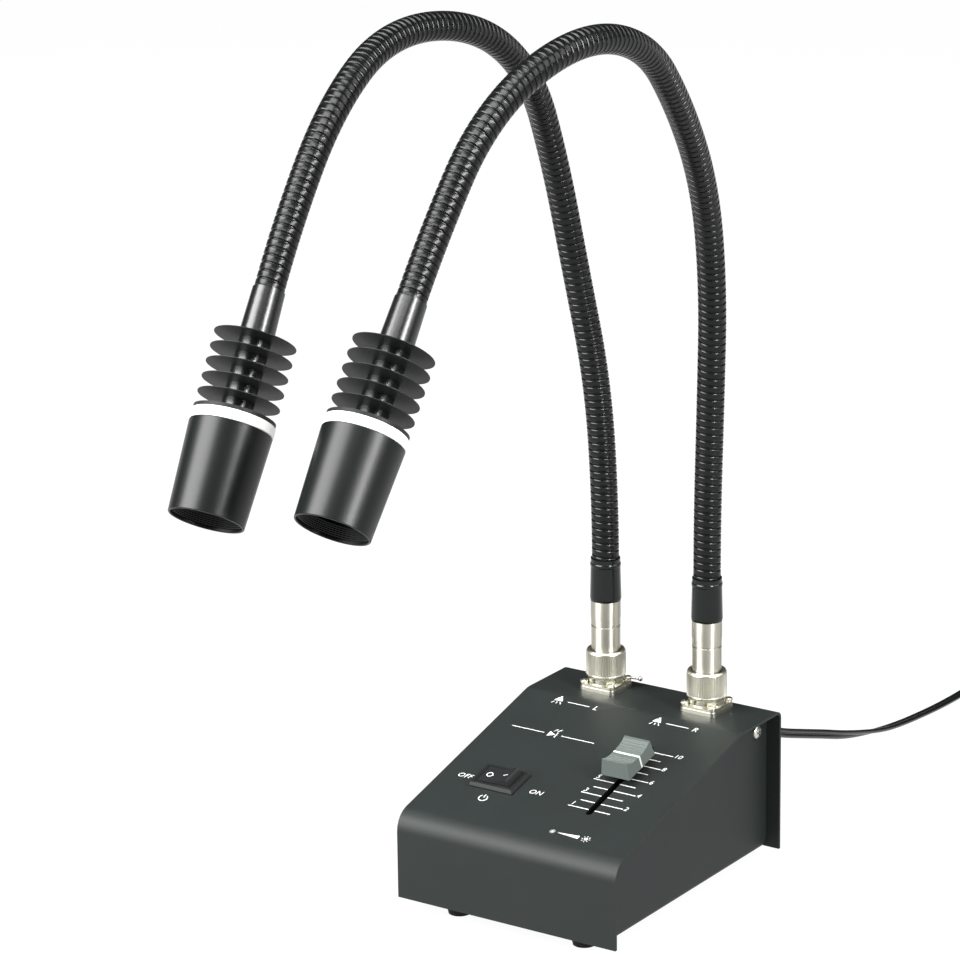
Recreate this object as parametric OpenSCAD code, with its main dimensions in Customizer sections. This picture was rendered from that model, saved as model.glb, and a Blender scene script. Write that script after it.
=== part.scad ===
// Twin gooseneck spot light: a small steel control box with a slider dimmer and a rocker switch,
// and two bendable arms that each carry a finned lamp head.
// The origin is at table level under the middle of the control box. X runs across the box, Y from
// its front to its rear, and Z is up.

/* [Control box] */
// Width of the folded cover
box_w = 106; // [100:1:116]
// Depth from the front face to the rear face
box_d = 130; // [126:1:136]
// Height of the flat strip above the table
box_h = 68; // [64:1:76]
// Height of the edge between front face and panel
front_h = 42; // [38:1:46]
// Depth of the flat strip that carries the sockets
flat_d = 32; // [30:1:36]
// Thickness of the sheet steel
sheet_t = 1.2; // [1:0.1:1.4]
// Reach of the cover's side edges beyond the chassis
overhang = 6.3; // [5:0.1:8]
// Inner radius of the bend between front face and panel
front_bend_r = 8; // [4:1:10]
// Inner radius of the bend between panel and flat strip
top_bend_r = 12; // [6:1:16]
// Inner radius of the bend between flat strip and rear face
rear_bend_r = 2; // [1:0.5:3]
// Height of the rubber feet
foot_h = 6; // [5:0.5:8]
// Distance between the left and right feet
foot_gap_x = 61; // [50:1:70]
// Distance between the front and rear feet
foot_gap_y = 106; // [90:1:110]

/* [Rocker switch] */
// Place of the switch across the panel, from its middle
switch_x = -25.4; // [-28:0.1:-22]
// Place of the switch up the panel
switch_v = 36.3; // [34:0.1:40]
// Width of the bezel
bezel_w = 21.2; // [20:0.1:23]
// Depth of the bezel
bezel_d = 15; // [14:0.1:17]
// Angle that the rocker tips through
rocker_tip = 22; // [16:1:24]

/* [Slider] */
// Place of the slot across the panel, from its middle
slot_x = 22.6; // [20:0.1:24]
// Place of the slider's lower stop, the figure 1, up the panel
scale_low = 31.3; // [30:0.1:33]
// Travel of the slider
slider_travel = 45; // [30:1:45]
// How far the slider stands above its lower stop
slider_at = 29.7; // [0:0.1:30]
// Length of the knob along its travel
knob_l = 20.5; // [18:0.5:24]
// Width of the knob
knob_w = 13.5; // [11:0.5:15]

/* [Arms] */
// Distance between the two arms
arm_gap = 50; // [46:1:54]
// Distance from the arms to the rear face
arm_from_rear = 14.5; // [13:0.5:16]
// Diameter of the gooseneck
neck_d = 11.6; // [11.2:0.1:11.8]
// Visible length of each gooseneck
neck_l = 455; // [440:1:470]
// Ribs on each long stretch of the gooseneck
ribs = 10; // [8:2:10]

/* [Lamp head] */
// Diameter of the fins
fin_d = 31.2; // [28:0.2:34]
// Number of fins
fins = 5; // [3:1:5]
// Distance from one fin to the next
fin_pitch = 5.9; // [5:0.1:5.9]
// Diameter of the shade where it meets the white ring
shade_d = 31.5; // [31:0.1:33]
// Diameter of the shade's mouth
mouth_d = 28.8; // [28.6:0.1:30]
// Length of the shade
shade_l = 35.4; // [33.4:1:43.4]

/* [Supply lead] */
// Width of the flat twin lead
lead_w = 4.3; // [4:0.1:4.3]
// Thickness of the flat twin lead
lead_t = 2.1; // [1.8:0.1:2.2]
// Turns in the coil
coil_turns = 7.5; // [5.5:1:7.5]

/* [Hidden] */
$fn = 48;

// Small gap between pieces that fit, and the overlap that lets a cut run past a face
fit = 0.15;
past = 1;

// The cover's side view, from the front's lower edge up and over to the rear's lower edge
slope = atan((box_h - front_h) / (box_d - flat_d));
bend_y = box_d / 2 - flat_d;
front_y = -box_d / 2;
rear_y = box_d / 2;
cheek_x = box_w / 2 - overhang;
wall_inset = sheet_t + fit;

// Cover lugs and hooks
screw_y = 54.3;
screw_z = box_h - 7.4;
lug_w = 12;
lug_drop = 13;
hook_l = 7;

// M3 pan-head screws
m3_d = 2.9;
m3_hole_d = 3.2;
m3_head_d = 5.8;
m3_head_h = 2;
m3_nut_w = 5.5;
m3_nut_h = 2.4;

// Feet
foot_top_d = 12;
foot_tip_d = 9.5;
foot_bore_d = 6.6;
foot_bore_h = 3.2;

// Rocker switch, measured from the panel's outer face
bezel_h = 2;
switch_neck_w = 19;
switch_neck_d = 12.8;
switch_depth = 13;
well_w = 16.6;
well_d = 10.6;
well_depth = 8;
pivot_n = 0.4;
rocker_r = 8.05;
rocker_w = 10;
rocker_face_n = 1.8;
rocker_pin_d = 1.6;
rocker_pin_l = 0.9;
terminal = [0.8, 4.8, 8];

// Slider, measured from the panel's outer face
scale_mid = scale_low + slider_travel / 2;
slider_v = scale_low + slider_at;
slot_w = 2.7;
lever_w = 1.2;
lever_l = 4;
slot_l = slider_travel + lever_l + 2.6;
pot_w = 9;
pot_l = slider_travel + 17;
pot_h = 7;
pot_top_n = -sheet_t - 0.3;
pot_wall = 0.8;
knob_low_n = 3.5;
knob_top_n = 10.5;
knob_top_l = 18.3;
knob_top_w = 12;
knob_scoop_r = 21;
knob_ridges = 4;
knob_ridge_pitch = 1.6;

// Driver board, hung from the panel
board_x = [-6, 44];
board_v = [18, 90];
board_t = 1.6;
board_n = pot_top_n - pot_h - board_t;
pillar_in = 4;
pillar_w = 5.5;

// Sockets and plugs, heights above the flat strip
flange_w = 17;
flange_t = 1.6;
plate_w = 16.6;
collar_d = 15.4;
collar_z = 2.9;
nut_z = 5.7;
nut_top_z = 17.45;
barrel_z = 16;
crimp_z = 32;
boot_z = 39.4;
neck_z = 58;
spigot_d = 10.8;
socket_body_d = 12.4;
panel_hole_d = 13;
nut_d = 17;
nut_rim_d = 16;
nut_recess_d = 13.2;
nut_web_z = [14.85, 15.85];
nut_knurls = 36;
barrel_d = 12.8;
barrel_low_d = 12.4;
boot_low_d = 13.3;
boot_top_d = 12.5;
flange_screw_at = 6.7;
m2_d = 1.9;
m2_head_d = 3.4;
m2_head_h = 1.4;

// Goosenecks: how far each tilts to the front, and to the right, at ten even steps of its length
arms_x = 0.35;
right_arm = [
    [0, -2, 8, 21, 39, 48, 79, 113, 142, 142],
    [0, 0.5, 6, 8, 9, 8, 1, -8, -3, 2],
    [arms_x + arm_gap / 2, rear_y - arm_from_rear, box_h + neck_z]
];
left_arm = [
    [0, -1, 8, 17, 32, 58, 84, 111, 142, 146],
    [0, -4.5, -7, 0, 7, 3, -4, 8, 1, 4],
    [arms_x - arm_gap / 2, rear_y - arm_from_rear, box_h + neck_z]
];
knots = len(right_arm[0]) - 1;
stretches = 9;
half_ribs = 2 * ribs;
steps = half_ribs * (stretches - 1);
crest_r = neck_d / 2;
valley_r = neck_d / 2 - 0.8;
stub_r = 5.2;
stub_l = 12;
stub_bore_r = 5.4;
bore_r = 3.4;
neck_sides = 8;
stretch_gap = 1.6;
lamp_lead_d = 2.8;

// Lamp head, lengths from the gooseneck's end towards the mouth
sleeve_top_d = 12.4;
sleeve_low_d = 13.4;
sleeve_l = 19.3;
fin_t = 0.7;
core_d = 12;
lead_bore_d = 5;
plate_at = sleeve_l + fins * fin_pitch;
plate_t = 1.5;
ring_at = plate_at + plate_t;
ring_l = 3.95;
ring_d = 31.8;
ring_bore_d = 24;
shade_at = ring_at + ring_l;
lens_seat_at = shade_at + 9.6;
lens_rim_t = 1.2;
lens_pocket_d = 26.3;
lens_pocket_l = 1.3;
shade_bore_d = 27;
shade_upper_d = 24;

// Supply lead: the points that its centreline follows, from the strain relief to the coil
grommet_l = 18;
lead_x = 26;
lead_z = 47;
cord_route = [
    [26, 83, 47], [26, 90, 46.3], [26, 98, 43.8], [26, 106, 40.2], [26, 115, 36.6], [26, 129, 31.9],
    [26, 147, 26], [26, 165, 20], [25.5, 183, 14.9], [25, 203, 10.3], [24.2, 222, 7.1],
    [23.3, 240, 4.8], [22.6, 258, 3], [22.2, 275, 2], [22, 290, 1.7], [22, 303.7, 1.7]
];
tail_route = [
    [90, 303.7, 4.7], [90, 297, 4.3], [90, 290, 4.2], [90, 284, 5.2], [90, 279, 6.3], [90, 274, 6.5]
];
cord_sides = 8;
rings_a_span = 2;

// Coil: its middle, the radius where the lead comes in and goes out, and how the turns lie
coil_at = [56, 308];
coil_r = 34;
turn_pitch = 5.2;
layer_pitch = 3;
coil_low_z = 1.7;
loop_rings = 24;
coil_sides = 6;
climb_turns = 0.5;
tie_w = 7;
tie_t = 0.5;

// Wall adapter
adapter_w = 28;
adapter_l = 44;
adapter_h = 26;
adapter_y = 222;
adapter_r = 3;
pin_gap = 12.7;
pin_size = [1.5, 17, 6.3];

cord_black = "#17181a";
plated = "#c9c8c3";
panel_black = "#333836";
satin_black = "#1c1d1e";
gloss_black = "#101112";
dark_plastic = "#26282a";
steel_grey = "#9a9da0";

// Points and curves

function unit(v) = v / norm(v);

// The corner points of an outline with each corner rounded to its own radius, by an arc of 5 steps
function rounded(corners, radii) = [
    for (i = [0 : len(corners) - 1])
        let (
            p = corners[i],
            a = unit(corners[(i + len(corners) - 1) % len(corners)] - p),
            b = unit(corners[(i + 1) % len(corners)] - p),
            half = acos(a * b) / 2,
            centre = p + unit(a + b) * radii[i] / sin(half),
            from = centre - p - a * ((centre - p) * a),
            turn = (a[0] * b[1] - a[1] * b[0] > 0 ? -1 : 1) * (180 - 2 * half)
        )
        each (radii[i] == 0 ? [p] : [
            for (k = [0 : 5])
                let (t = turn * k / 5)
                centre - [from[0] * cos(t) - from[1] * sin(t), from[0] * sin(t) + from[1] * cos(t)]
        ])
];

// The side view of the box, every wall moved in by d, from z = low up
function side_view(d, low) =
    let (
        front_top = front_h - d / cos(slope) + d * tan(slope),
        bend = bend_y + d * tan(slope / 2)
    )
    [[front_y + d, low], [front_y + d, front_top], [bend, box_h - d], [rear_y - d, box_h - d],
        [rear_y - d, low]];

// A smooth curve through points, with several steps between each two
function smooth(p, spans) = [
    for (i = [0 : len(p) - 2], k = [0 : spans - 1])
        let (
            t = k / spans,
            a = p[max(i - 1, 0)],
            b = p[i],
            c = p[i + 1],
            d = p[min(i + 2, len(p) - 1)]
        )
        b + ((c - a) * t + (2 * a - 5 * b + 4 * c - d) * t * t + (3 * b - a - 3 * c + d) * t * t * t) / 2,
    p[len(p) - 1]
];

// A ring of points round c, reaching a along s and b along u
function ring(c, s, u, a, b, sides) = [
    for (k = [0 : sides - 1]) c + a * cos(360 * k / sides) * s + b * sin(360 * k / sides) * u
];

// Triangles between rings of points that start at index at; inside turns them over
function wall_faces(rings, sides, at = 0, inside = false) = [
    for (i = [0 : rings - 2], k = [0 : sides - 1])
        let (
            a = at + i * sides + k,
            b = at + i * sides + (k + 1) % sides,
            c = a + sides,
            d = b + sides
        )
        each (inside ? [[a, c, b], [b, c, d]] : [[a, b, c], [b, d, c]])
];

// Triangles that close a tube's end; top turns them over
function cap_faces(at, sides, top) = [
    for (k = [1 : sides - 2]) top ? [at, at + k, at + k + 1] : [at, at + k + 1, at + k]
];

// Triangles between an outer and an inner ring of one end
function rim_faces(outer, inner, sides, top) = [
    for (k = [0 : sides - 1])
        let (n = (k + 1) % sides)
        each (top
            ? [[outer + k, outer + n, inner + k], [outer + n, inner + n, inner + k]]
            : [[outer + k, inner + k, outer + n], [outer + n, inner + k, inner + n]])
];

// A solid tube along points, flat side down: width across, thickness upwards
module flat_tube(points, width, thickness, sides) {
    last = len(points) - 1;
    rings = [
        for (i = [0 : last])
            let (
                t = unit(points[min(i + 1, last)] - points[max(i - 1, 0)]),
                s = unit(cross(t, [0, 0, 1])),
                u = cross(s, t)
            )
            each ring(points[i], s, u, width / 2, thickness / 2, sides)
    ];
    polyhedron(
        rings,
        concat(
            wall_faces(last + 1, sides),
            cap_faces(0, sides, false),
            cap_faces(last * sides, sides, true)
        )
    );
}

// Arms

function tilt_at(arm, i) = lookup(i * knots / steps, [for (k = [0 : knots]) [k, arm[0][k]]]);
function sway_at(arm, i) = lookup(i * knots / steps, [for (k = [0 : knots]) [k, arm[1][k]]]);
function along(a, b) = [sin(b), -cos(b) * sin(a), cos(b) * cos(a)];
function across(a, b) = [cos(b), sin(a) * sin(b), -cos(a) * sin(b)];
function upward(a) = [0, cos(a), sin(a)];
function direction(arm, i) = along(tilt_at(arm, i), sway_at(arm, i));

// Centreline points of an arm, one every half rib
function arm_path(arm) = [
    for (i = 0, p = arm[2]; i <= steps; p = p + neck_l / steps * direction(arm, i + 0.5), i = i + 1) p
];

right_path = arm_path(right_arm);
left_path = arm_path(left_arm);

function path_of(arm) = arm == right_arm ? right_path : left_path;
function cut_at(k) = k == 0 ? 0 : k == stretches ? steps : half_ribs * (k - 0.5);

function neck_ring(arm, i, shift, r) =
    let (a = tilt_at(arm, i), b = sway_at(arm, i))
    ring(path_of(arm)[i] + shift * along(a, b), upward(a), across(a, b), r, r, neck_sides);

// One stretch of a gooseneck, from 1 at the plug to 9 at the head, with its ribs and its bore.
// The first and last end in a plain stub that sits in the boot or the sleeve.
module neck(arm, k) {
    first = cut_at(k - 1);
    last = cut_at(k);
    low = k == 1 ? 0 : stretch_gap / 2;
    high = k == stretches ? 0 : -stretch_gap / 2;
    shifts = [for (i = [first : last]) i == first ? low : i == last ? high : 0];
    low_stub = k == 1 ? neck_ring(arm, first, -stub_l, stub_r) : [];
    high_stub = k == stretches ? neck_ring(arm, last, stub_l, stub_r) : [];
    body = [
        for (i = [first : last])
            each neck_ring(arm, i, shifts[i - first], i % 2 == 0 ? valley_r : crest_r)
    ];
    outer = concat(low_stub, body, high_stub);
    bore_at = [for (m = [0 : 3]) first + round(m * (last - first) / 3)];
    bore = [
        for (m = [0 : 3])
            each neck_ring(
                arm, bore_at[m],
                m == 0 ? (k == 1 ? -stub_l : low) : m == 3 ? (k == stretches ? stub_l : high) : 0,
                bore_r
            )
    ];
    outer_rings = len(outer) / neck_sides;
    color(gloss_black)
        polyhedron(
            concat(outer, bore),
            concat(
                wall_faces(outer_rings, neck_sides),
                wall_faces(4, neck_sides, len(outer), true),
                rim_faces(0, len(outer), neck_sides, false),
                rim_faces(len(outer) - neck_sides, len(outer) + 3 * neck_sides, neck_sides, true)
            )
        );
}

// The two-core lead inside a gooseneck, from the plug to the head
module lamp_lead(arm) {
    path = path_of(arm);
    points = concat(
        [path[0] - [0, 0, neck_z - barrel_z - 2]],
        [for (i = [0 : 4 : steps]) path[i]],
        [path[steps] + (plate_at - 1) * direction(arm, steps)]
    );
    rings = [
        for (m = [0 : len(points) - 1])
            let (i = min(max(m - 1, 0) * 4, steps), a = tilt_at(arm, i), b = sway_at(arm, i))
            each ring(points[m], upward(a), across(a, b), lamp_lead_d / 2, lamp_lead_d / 2, neck_sides)
    ];
    color("#d8d4c8")
        polyhedron(
            rings,
            concat(
                wall_faces(len(points), neck_sides),
                cap_faces(0, neck_sides, false),
                cap_faces((len(points) - 1) * neck_sides, neck_sides, true)
            )
        );
}

// Places

// Onto the sloping panel: X across, Y up the slope from the front edge, Z out of the panel
module on_panel(x = 0, v = 0, n = 0) {
    translate([0, front_y, front_h])
        rotate([slope, 0, 0])
            translate([x, v, n])
                children();
}

// Onto the flat strip at an arm, Z up from the strip
module on_strip(arm) {
    translate([arm[2][0], arm[2][1], box_h])
        children();
}

// To the end of an arm, Z along the lamp's axis towards its mouth
module at_head(arm) {
    translate(path_of(arm)[steps])
        rotate([arm[0][knots], 0, 0])
            rotate([0, arm[1][knots], 0])
                children();
}

module at_feet() {
    for (x = [-1, 1], y = [-1, 1])
        translate([x * foot_gap_x / 2, y * foot_gap_y / 2, 0])
            children();
}

module at_flange_screws() {
    for (x = [-1, 1], y = [-1, 1])
        translate([x * flange_screw_at, y * flange_screw_at, 0])
            children();
}

// Side view extruded across X, centred
module across_box(width) {
    rotate([90, 0, 90])
        linear_extrude(width, center = true)
            children();
}

// A pan-head screw pointing down, its head's seat at the origin, with a cross recess
module pan_screw(shank_d, shank_l, head_d, head_h) {
    difference() {
        union() {
            translate([0, 0, -shank_l])
                cylinder(d = shank_d, h = shank_l + 0.2);
            rotate_extrude()
                polygon([
                    [0, 0], [head_d / 2, 0], [head_d / 2, head_h * 0.45],
                    for (k = [1 : 4]) [head_d / 2 * cos(k * 18), head_h * (0.45 + 0.55 * sin(k * 22.5))],
                    [0, head_h]
                ]);
        }
        for (turn = [0, 90])
            rotate(turn)
                translate([-head_d * 0.3, -head_d * 0.07, head_h * 0.45])
                    cube([head_d * 0.6, head_d * 0.14, head_h]);
    }
}

// Control box

// The folded cover: front face, sloping panel, flat strip and rear face
module housing_wrap() {
    low = foot_h;
    radii = [0, front_bend_r, top_bend_r, rear_bend_r, 0];
    outer_radii = [0, front_bend_r + sheet_t, top_bend_r + sheet_t, rear_bend_r + sheet_t, 0];
    color(panel_black)
        difference() {
            union() {
                across_box(box_w)
                    difference() {
                        polygon(rounded(side_view(0, low), outer_radii));
                        polygon(rounded(side_view(sheet_t, low - past), radii));
                    }
                for (side = [-1, 1])
                    translate([side * (cheek_x - sheet_t - fit) - (side > 0 ? sheet_t : 0),
                        screw_y - lug_w / 2, box_h - sheet_t - lug_drop])
                        cube([sheet_t, lug_w, lug_drop + 0.2]);
                for (y = [front_y + sheet_t - 0.2, rear_y - sheet_t - hook_l + 0.2])
                    translate([-box_w / 4, y, foot_h + sheet_t + fit])
                        cube([box_w / 2, hook_l, sheet_t]);
            }
            on_panel(switch_x, switch_v)
                cube([switch_neck_w + 0.2, switch_neck_d + 0.2, 8], center = true);
            on_panel(slot_x, scale_mid)
                cube([slot_w, slot_l - slot_w, 8], center = true);
            for (end = [-1, 1])
                on_panel(slot_x, scale_mid + end * (slot_l - slot_w) / 2)
                    cylinder(d = slot_w, h = 8, center = true);
            for (arm = [left_arm, right_arm])
                on_strip(arm) {
                    cylinder(d = panel_hole_d, h = 8, center = true);
                    at_flange_screws()
                        cylinder(d = m2_d + 0.3, h = 8, center = true);
                }
            translate([lead_x, rear_y, lead_z])
                rotate([90, 0, 0])
                    cylinder(d = 7.2, h = 8, center = true);
            translate([0, screw_y, screw_z])
                rotate([0, 90, 0])
                    cylinder(d = m3_d + 0.1, h = 2 * cheek_x, center = true);
        }
}

// Floor and two side cheeks in one sheet, set in from the cover's side edges
module chassis() {
    corner_r = 1.5;
    outside = [[-cheek_x, box_h], [-cheek_x, foot_h], [cheek_x, foot_h], [cheek_x, box_h]];
    inside = [
        [-cheek_x + sheet_t, box_h + past], [-cheek_x + sheet_t, foot_h + sheet_t],
        [cheek_x - sheet_t, foot_h + sheet_t], [cheek_x - sheet_t, box_h + past]
    ];
    color(panel_black)
        difference() {
            intersection() {
                rotate([90, 0, 0])
                    linear_extrude(box_d, center = true)
                        difference() {
                            polygon(rounded(outside, [0, corner_r + sheet_t, corner_r + sheet_t, 0]));
                            polygon(rounded(inside, [0, corner_r, corner_r, 0]));
                        }
                across_box(box_w)
                    polygon(rounded(
                        side_view(wall_inset, foot_h - past),
                        [0, front_bend_r, top_bend_r, rear_bend_r, 0]
                    ));
            }
            at_feet()
                cylinder(d = m3_hole_d, h = 2 * foot_h + 4);
            translate([0, screw_y, screw_z])
                rotate([0, 90, 0])
                    cylinder(d = m3_hole_d, h = box_w, center = true);
        }
}

// One screw through each cheek into the cover's lug
module case_screws() {
    color(plated)
        for (side = [-1, 1])
            translate([side * cheek_x, screw_y, screw_z])
                rotate([0, side * 90, 0])
                    pan_screw(m3_d, 6, m3_head_d, m3_head_h);
}

module feet() {
    color("#1a1a1a")
        at_feet()
            difference() {
                cylinder(d1 = foot_tip_d, d2 = foot_top_d, h = foot_h);
                cylinder(d = m3_hole_d, h = foot_h + past);
                translate([0, 0, -past])
                    cylinder(d = foot_bore_d, h = foot_bore_h + past);
            }
}

// A screw up through each foot, and its nut on the chassis floor
module foot_screws() {
    color(steel_grey)
        at_feet() {
            translate([0, 0, foot_bore_h])
                mirror([0, 0, 1])
                    pan_screw(m3_d, foot_h + 3, m3_head_d, m3_head_h);
            translate([0, 0, foot_h + sheet_t])
                difference() {
                    cylinder(d = m3_nut_w / cos(30), h = m3_nut_h, $fn = 6);
                    translate([0, 0, -past])
                        cylinder(d = m3_d + 0.1, h = m3_nut_h + 2 * past);
                }
        }
}

// Rocker switch

module switch_body() {
    color(dark_plastic)
        on_panel(switch_x, switch_v)
            difference() {
                union() {
                    hull() {
                        translate([0, 0, 0.3])
                            cube([bezel_w, bezel_d, 0.6], center = true);
                        translate([0, 0, bezel_h / 2])
                            cube([bezel_w - 1.6, bezel_d - 1.6, bezel_h], center = true);
                    }
                    translate([0, 0, (0.3 - switch_depth) / 2])
                        cube([switch_neck_w, switch_neck_d, switch_depth + 0.3], center = true);
                }
                translate([0, 0, bezel_h - well_depth / 2 + past / 2])
                    cube([well_w, well_d, well_depth + past], center = true);
                translate([0, 0, pivot_n])
                    rotate([90, 0, 0])
                        cylinder(d = rocker_pin_d + 0.1, h = rocker_w + 2 * rocker_pin_l + 0.4,
                            center = true);
            }
    color("#c9a24a")
        for (x = [-1, 1])
            on_panel(switch_x + x * 4, switch_v, -switch_depth - terminal[2] / 2)
                cube(terminal, center = true);
}

// Seen from the panel's foot: two faces that meet in a shallow V over the pivot, pressed down at
// the left end, and ends that swing round the pivot
module switch_rocker() {
    valley = rocker_face_n / cos(rocker_tip / 2);
    rise = (rocker_r + 1) * tan(rocker_tip / 2);
    color(dark_plastic)
        on_panel(switch_x, switch_v, pivot_n)
            rotate([0, -rocker_tip / 2, 0]) {
                rotate([90, 0, 0])
                    linear_extrude(rocker_w, center = true)
                        intersection() {
                            circle(rocker_r);
                            polygon([
                                [-rocker_r - 1, -2.6], [-5, -4.2], [5, -4.2], [rocker_r + 1, -2.6],
                                [rocker_r + 1, valley + rise], [0, valley], [-rocker_r - 1, valley + rise]
                            ]);
                        }
                rotate([90, 0, 0])
                    cylinder(d = rocker_pin_d, h = rocker_w + 2 * rocker_pin_l - 0.2, center = true);
            }
}

// Slider

// Steel frame of the slide potentiometer, open at the top for the lever
module slider_pot() {
    color(steel_grey)
        on_panel(slot_x, scale_mid, pot_top_n - pot_h / 2)
            difference() {
                cube([pot_w, pot_l, pot_h], center = true);
                cube([pot_w - 2 * pot_wall, pot_l - 6, pot_h - 2 * pot_wall], center = true);
                translate([0, 0, pot_h / 2])
                    cube([2.4, slider_travel + lever_l + 1.4, 3 * pot_wall], center = true);
            }
}

module slider_lever() {
    carriage = [pot_w - 2 * pot_wall - 0.6, 8, pot_h - 2 * pot_wall - 0.6];
    color(dark_plastic)
        on_panel(slot_x, slider_v) {
            translate([0, 0, pot_top_n - pot_h / 2])
                cube(carriage, center = true);
            translate([-lever_w / 2, -lever_l / 2, pot_top_n - pot_h / 2])
                cube([lever_w, lever_l, knob_low_n + 5 - pot_top_n + pot_h / 2]);
        }
}

// Grey knob: tapered skirt, scooped top with cross ridges, and a raised edge at each end
module slider_knob() {
    scoop_n = knob_top_n - 2 + knob_scoop_r;
    color("#8f9392")
        on_panel(slot_x, slider_v)
            difference() {
                intersection() {
                    rotate([90, 0, 90])
                        linear_extrude(knob_w + 2, center = true)
                            difference() {
                                polygon([
                                    [-knob_l / 2, knob_low_n], [knob_l / 2, knob_low_n],
                                    [knob_top_l / 2, knob_top_n], [-knob_top_l / 2, knob_top_n]
                                ]);
                                intersection() {
                                    translate([0, scoop_n])
                                        circle(knob_scoop_r, $fn = 96);
                                    square([knob_top_l - 1.6, 3 * knob_top_n], center = true);
                                }
                            }
                    rotate([90, 0, 0])
                        linear_extrude(knob_l + 2, center = true)
                            polygon([
                                [-knob_w / 2, knob_low_n], [knob_w / 2, knob_low_n],
                                [knob_top_w / 2, knob_top_n], [-knob_top_w / 2, knob_top_n]
                            ]);
                }
                for (side = [-1, 1], k = [1 : knob_ridges])
                    let (turn = side * k * knob_ridge_pitch * 180 / PI / knob_scoop_r)
                    translate([0, knob_scoop_r * sin(turn), scoop_n - knob_scoop_r * cos(turn)])
                        rotate([0, 90, 0])
                            cylinder(r = 0.35, h = knob_w + 2, center = true);
                translate([-lever_w / 2 - 0.05, -lever_l / 2 - 0.05, knob_low_n - past])
                    cube([lever_w + 0.1, lever_l + 0.1, 5.1 + past]);
            }
}

// Electronics

module board_corner_screws() {
    for (x = [board_x[0] + pillar_in, board_x[1] - pillar_in],
        v = [board_v[0] + pillar_in, board_v[1] - pillar_in])
        on_panel(x, v)
            children();
}

module driver_board() {
    color("#1f5a35")
        difference() {
            on_panel(board_x[0], board_v[0], board_n)
                cube([board_x[1] - board_x[0], board_v[1] - board_v[0], board_t]);
            board_corner_screws()
                translate([0, 0, board_n - past])
                    cylinder(d = m3_hole_d, h = board_t + 2 * past);
        }
    color("#202428") {
        for (v = [34, 46])
            on_panel(4, v, board_n + board_t)
                cylinder(d = 6.3, h = 6);
        on_panel(8, 62, board_n + board_t)
            cube([8, 10, 2.4]);
        on_panel(33, 60, board_n + board_t)
            cube([6, 5, 1.8]);
    }
    color("#2b7d46")
        for (v = [28, 44, 64])
            on_panel(35, v, board_n - 8)
                cube([7.5, 10, 8]);
}

// Pillars under the panel that carry the board, with a screw in each from below
module board_pillars() {
    pillar_l = pot_h + 0.3;
    color("#c9a24a")
        board_corner_screws()
            translate([0, 0, board_n + board_t])
                difference() {
                    cylinder(d = pillar_w / cos(30), h = pillar_l, $fn = 6);
                    translate([0, 0, -past])
                        cylinder(d = m3_d + 0.1, h = pillar_l);
                }
    color(steel_grey)
        board_corner_screws()
            translate([0, 0, board_n])
                mirror([0, 0, 1])
                    pan_screw(m3_d, 6, m3_head_d, m3_head_h);
}

// Strain relief in the rear face: a flange inside, a neck in the hole and a tapered tail
module cord_grommet() {
    bore = [lead_w + 0.5, lead_t + 0.5];
    color(cord_black)
        translate([lead_x, rear_y, lead_z])
            rotate([-90, 0, 0])
                difference() {
                    rotate_extrude()
                        polygon([
                            [0, -sheet_t - 2], [5, -sheet_t - 2], [5, -sheet_t - 0.1],
                            [3.5, -sheet_t - 0.1], [3.5, 0.1], [5, 0.1], [5, 1.6], [4.2, 2.6],
                            for (k = [0 : 2]) each [
                                [3.9 - 0.25 * k, 4.5 + 4 * k], [3.4 - 0.25 * k, 4.9 + 4 * k],
                                [3.4 - 0.25 * k, 5.9 + 4 * k], [3.9 - 0.25 * k, 6.3 + 4 * k]
                            ],
                            [3.2, grommet_l - 2], [2.9, grommet_l], [0, grommet_l]
                        ]);
                    translate([-bore[0] / 2, -bore[1] / 2, -sheet_t - 2 - past])
                        cube([bore[0], bore[1], sheet_t + 2 + grommet_l - 2]);
                }
}

// Sockets and plugs

// A square plate with rounded corners and a hole for each flange screw
module flange_plate(width, thickness, corner_r) {
    difference() {
        union() {
            translate([0, 0, thickness / 2]) {
                cube([width - 2 * corner_r, width, thickness], center = true);
                cube([width, width - 2 * corner_r, thickness], center = true);
            }
            for (x = [-1, 1], y = [-1, 1])
                translate([x * (width / 2 - corner_r), y * (width / 2 - corner_r), 0])
                    cylinder(r = corner_r, h = thickness);
        }
        at_flange_screws()
            translate([0, 0, -past])
                cylinder(d = m2_d + 0.2, h = thickness + 2 * past);
    }
}

module socket(arm) {
    bore_d = 8.4;
    notches = 10;
    notch_w = 1.2;
    notch_turn = 10;
    color(plated)
        on_strip(arm)
            difference() {
                union() {
                    flange_plate(flange_w, flange_t, 2);
                    translate([0, 0, flange_t - 0.01])
                        flange_plate(plate_w, collar_z - flange_t + 0.01, 2);
                    rotate_extrude()
                        polygon([
                            [0, -9], [socket_body_d / 2, -9], [socket_body_d / 2, 0.5], [7, 0.5],
                            [7, collar_z - 0.1], [collar_d / 2, collar_z - 0.1],
                            [collar_d / 2, nut_z - 0.65], [collar_d / 2 - 0.5, nut_z - fit],
                            [spigot_d / 2, nut_z - fit], [spigot_d / 2, 12.6],
                            [spigot_d / 2 - 0.5, 13.1], [0, 13.1]
                        ]);
                }
                translate([0, 0, -9 - past])
                    cylinder(d = bore_d, h = 30);
                for (k = [0 : notches - 1])
                    rotate(360 * k / notches + notch_turn)
                        translate([collar_d / 2 - 0.9, -notch_w / 2, collar_z + 0.7])
                            cube([2, notch_w, 4]);
            }
}

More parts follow.
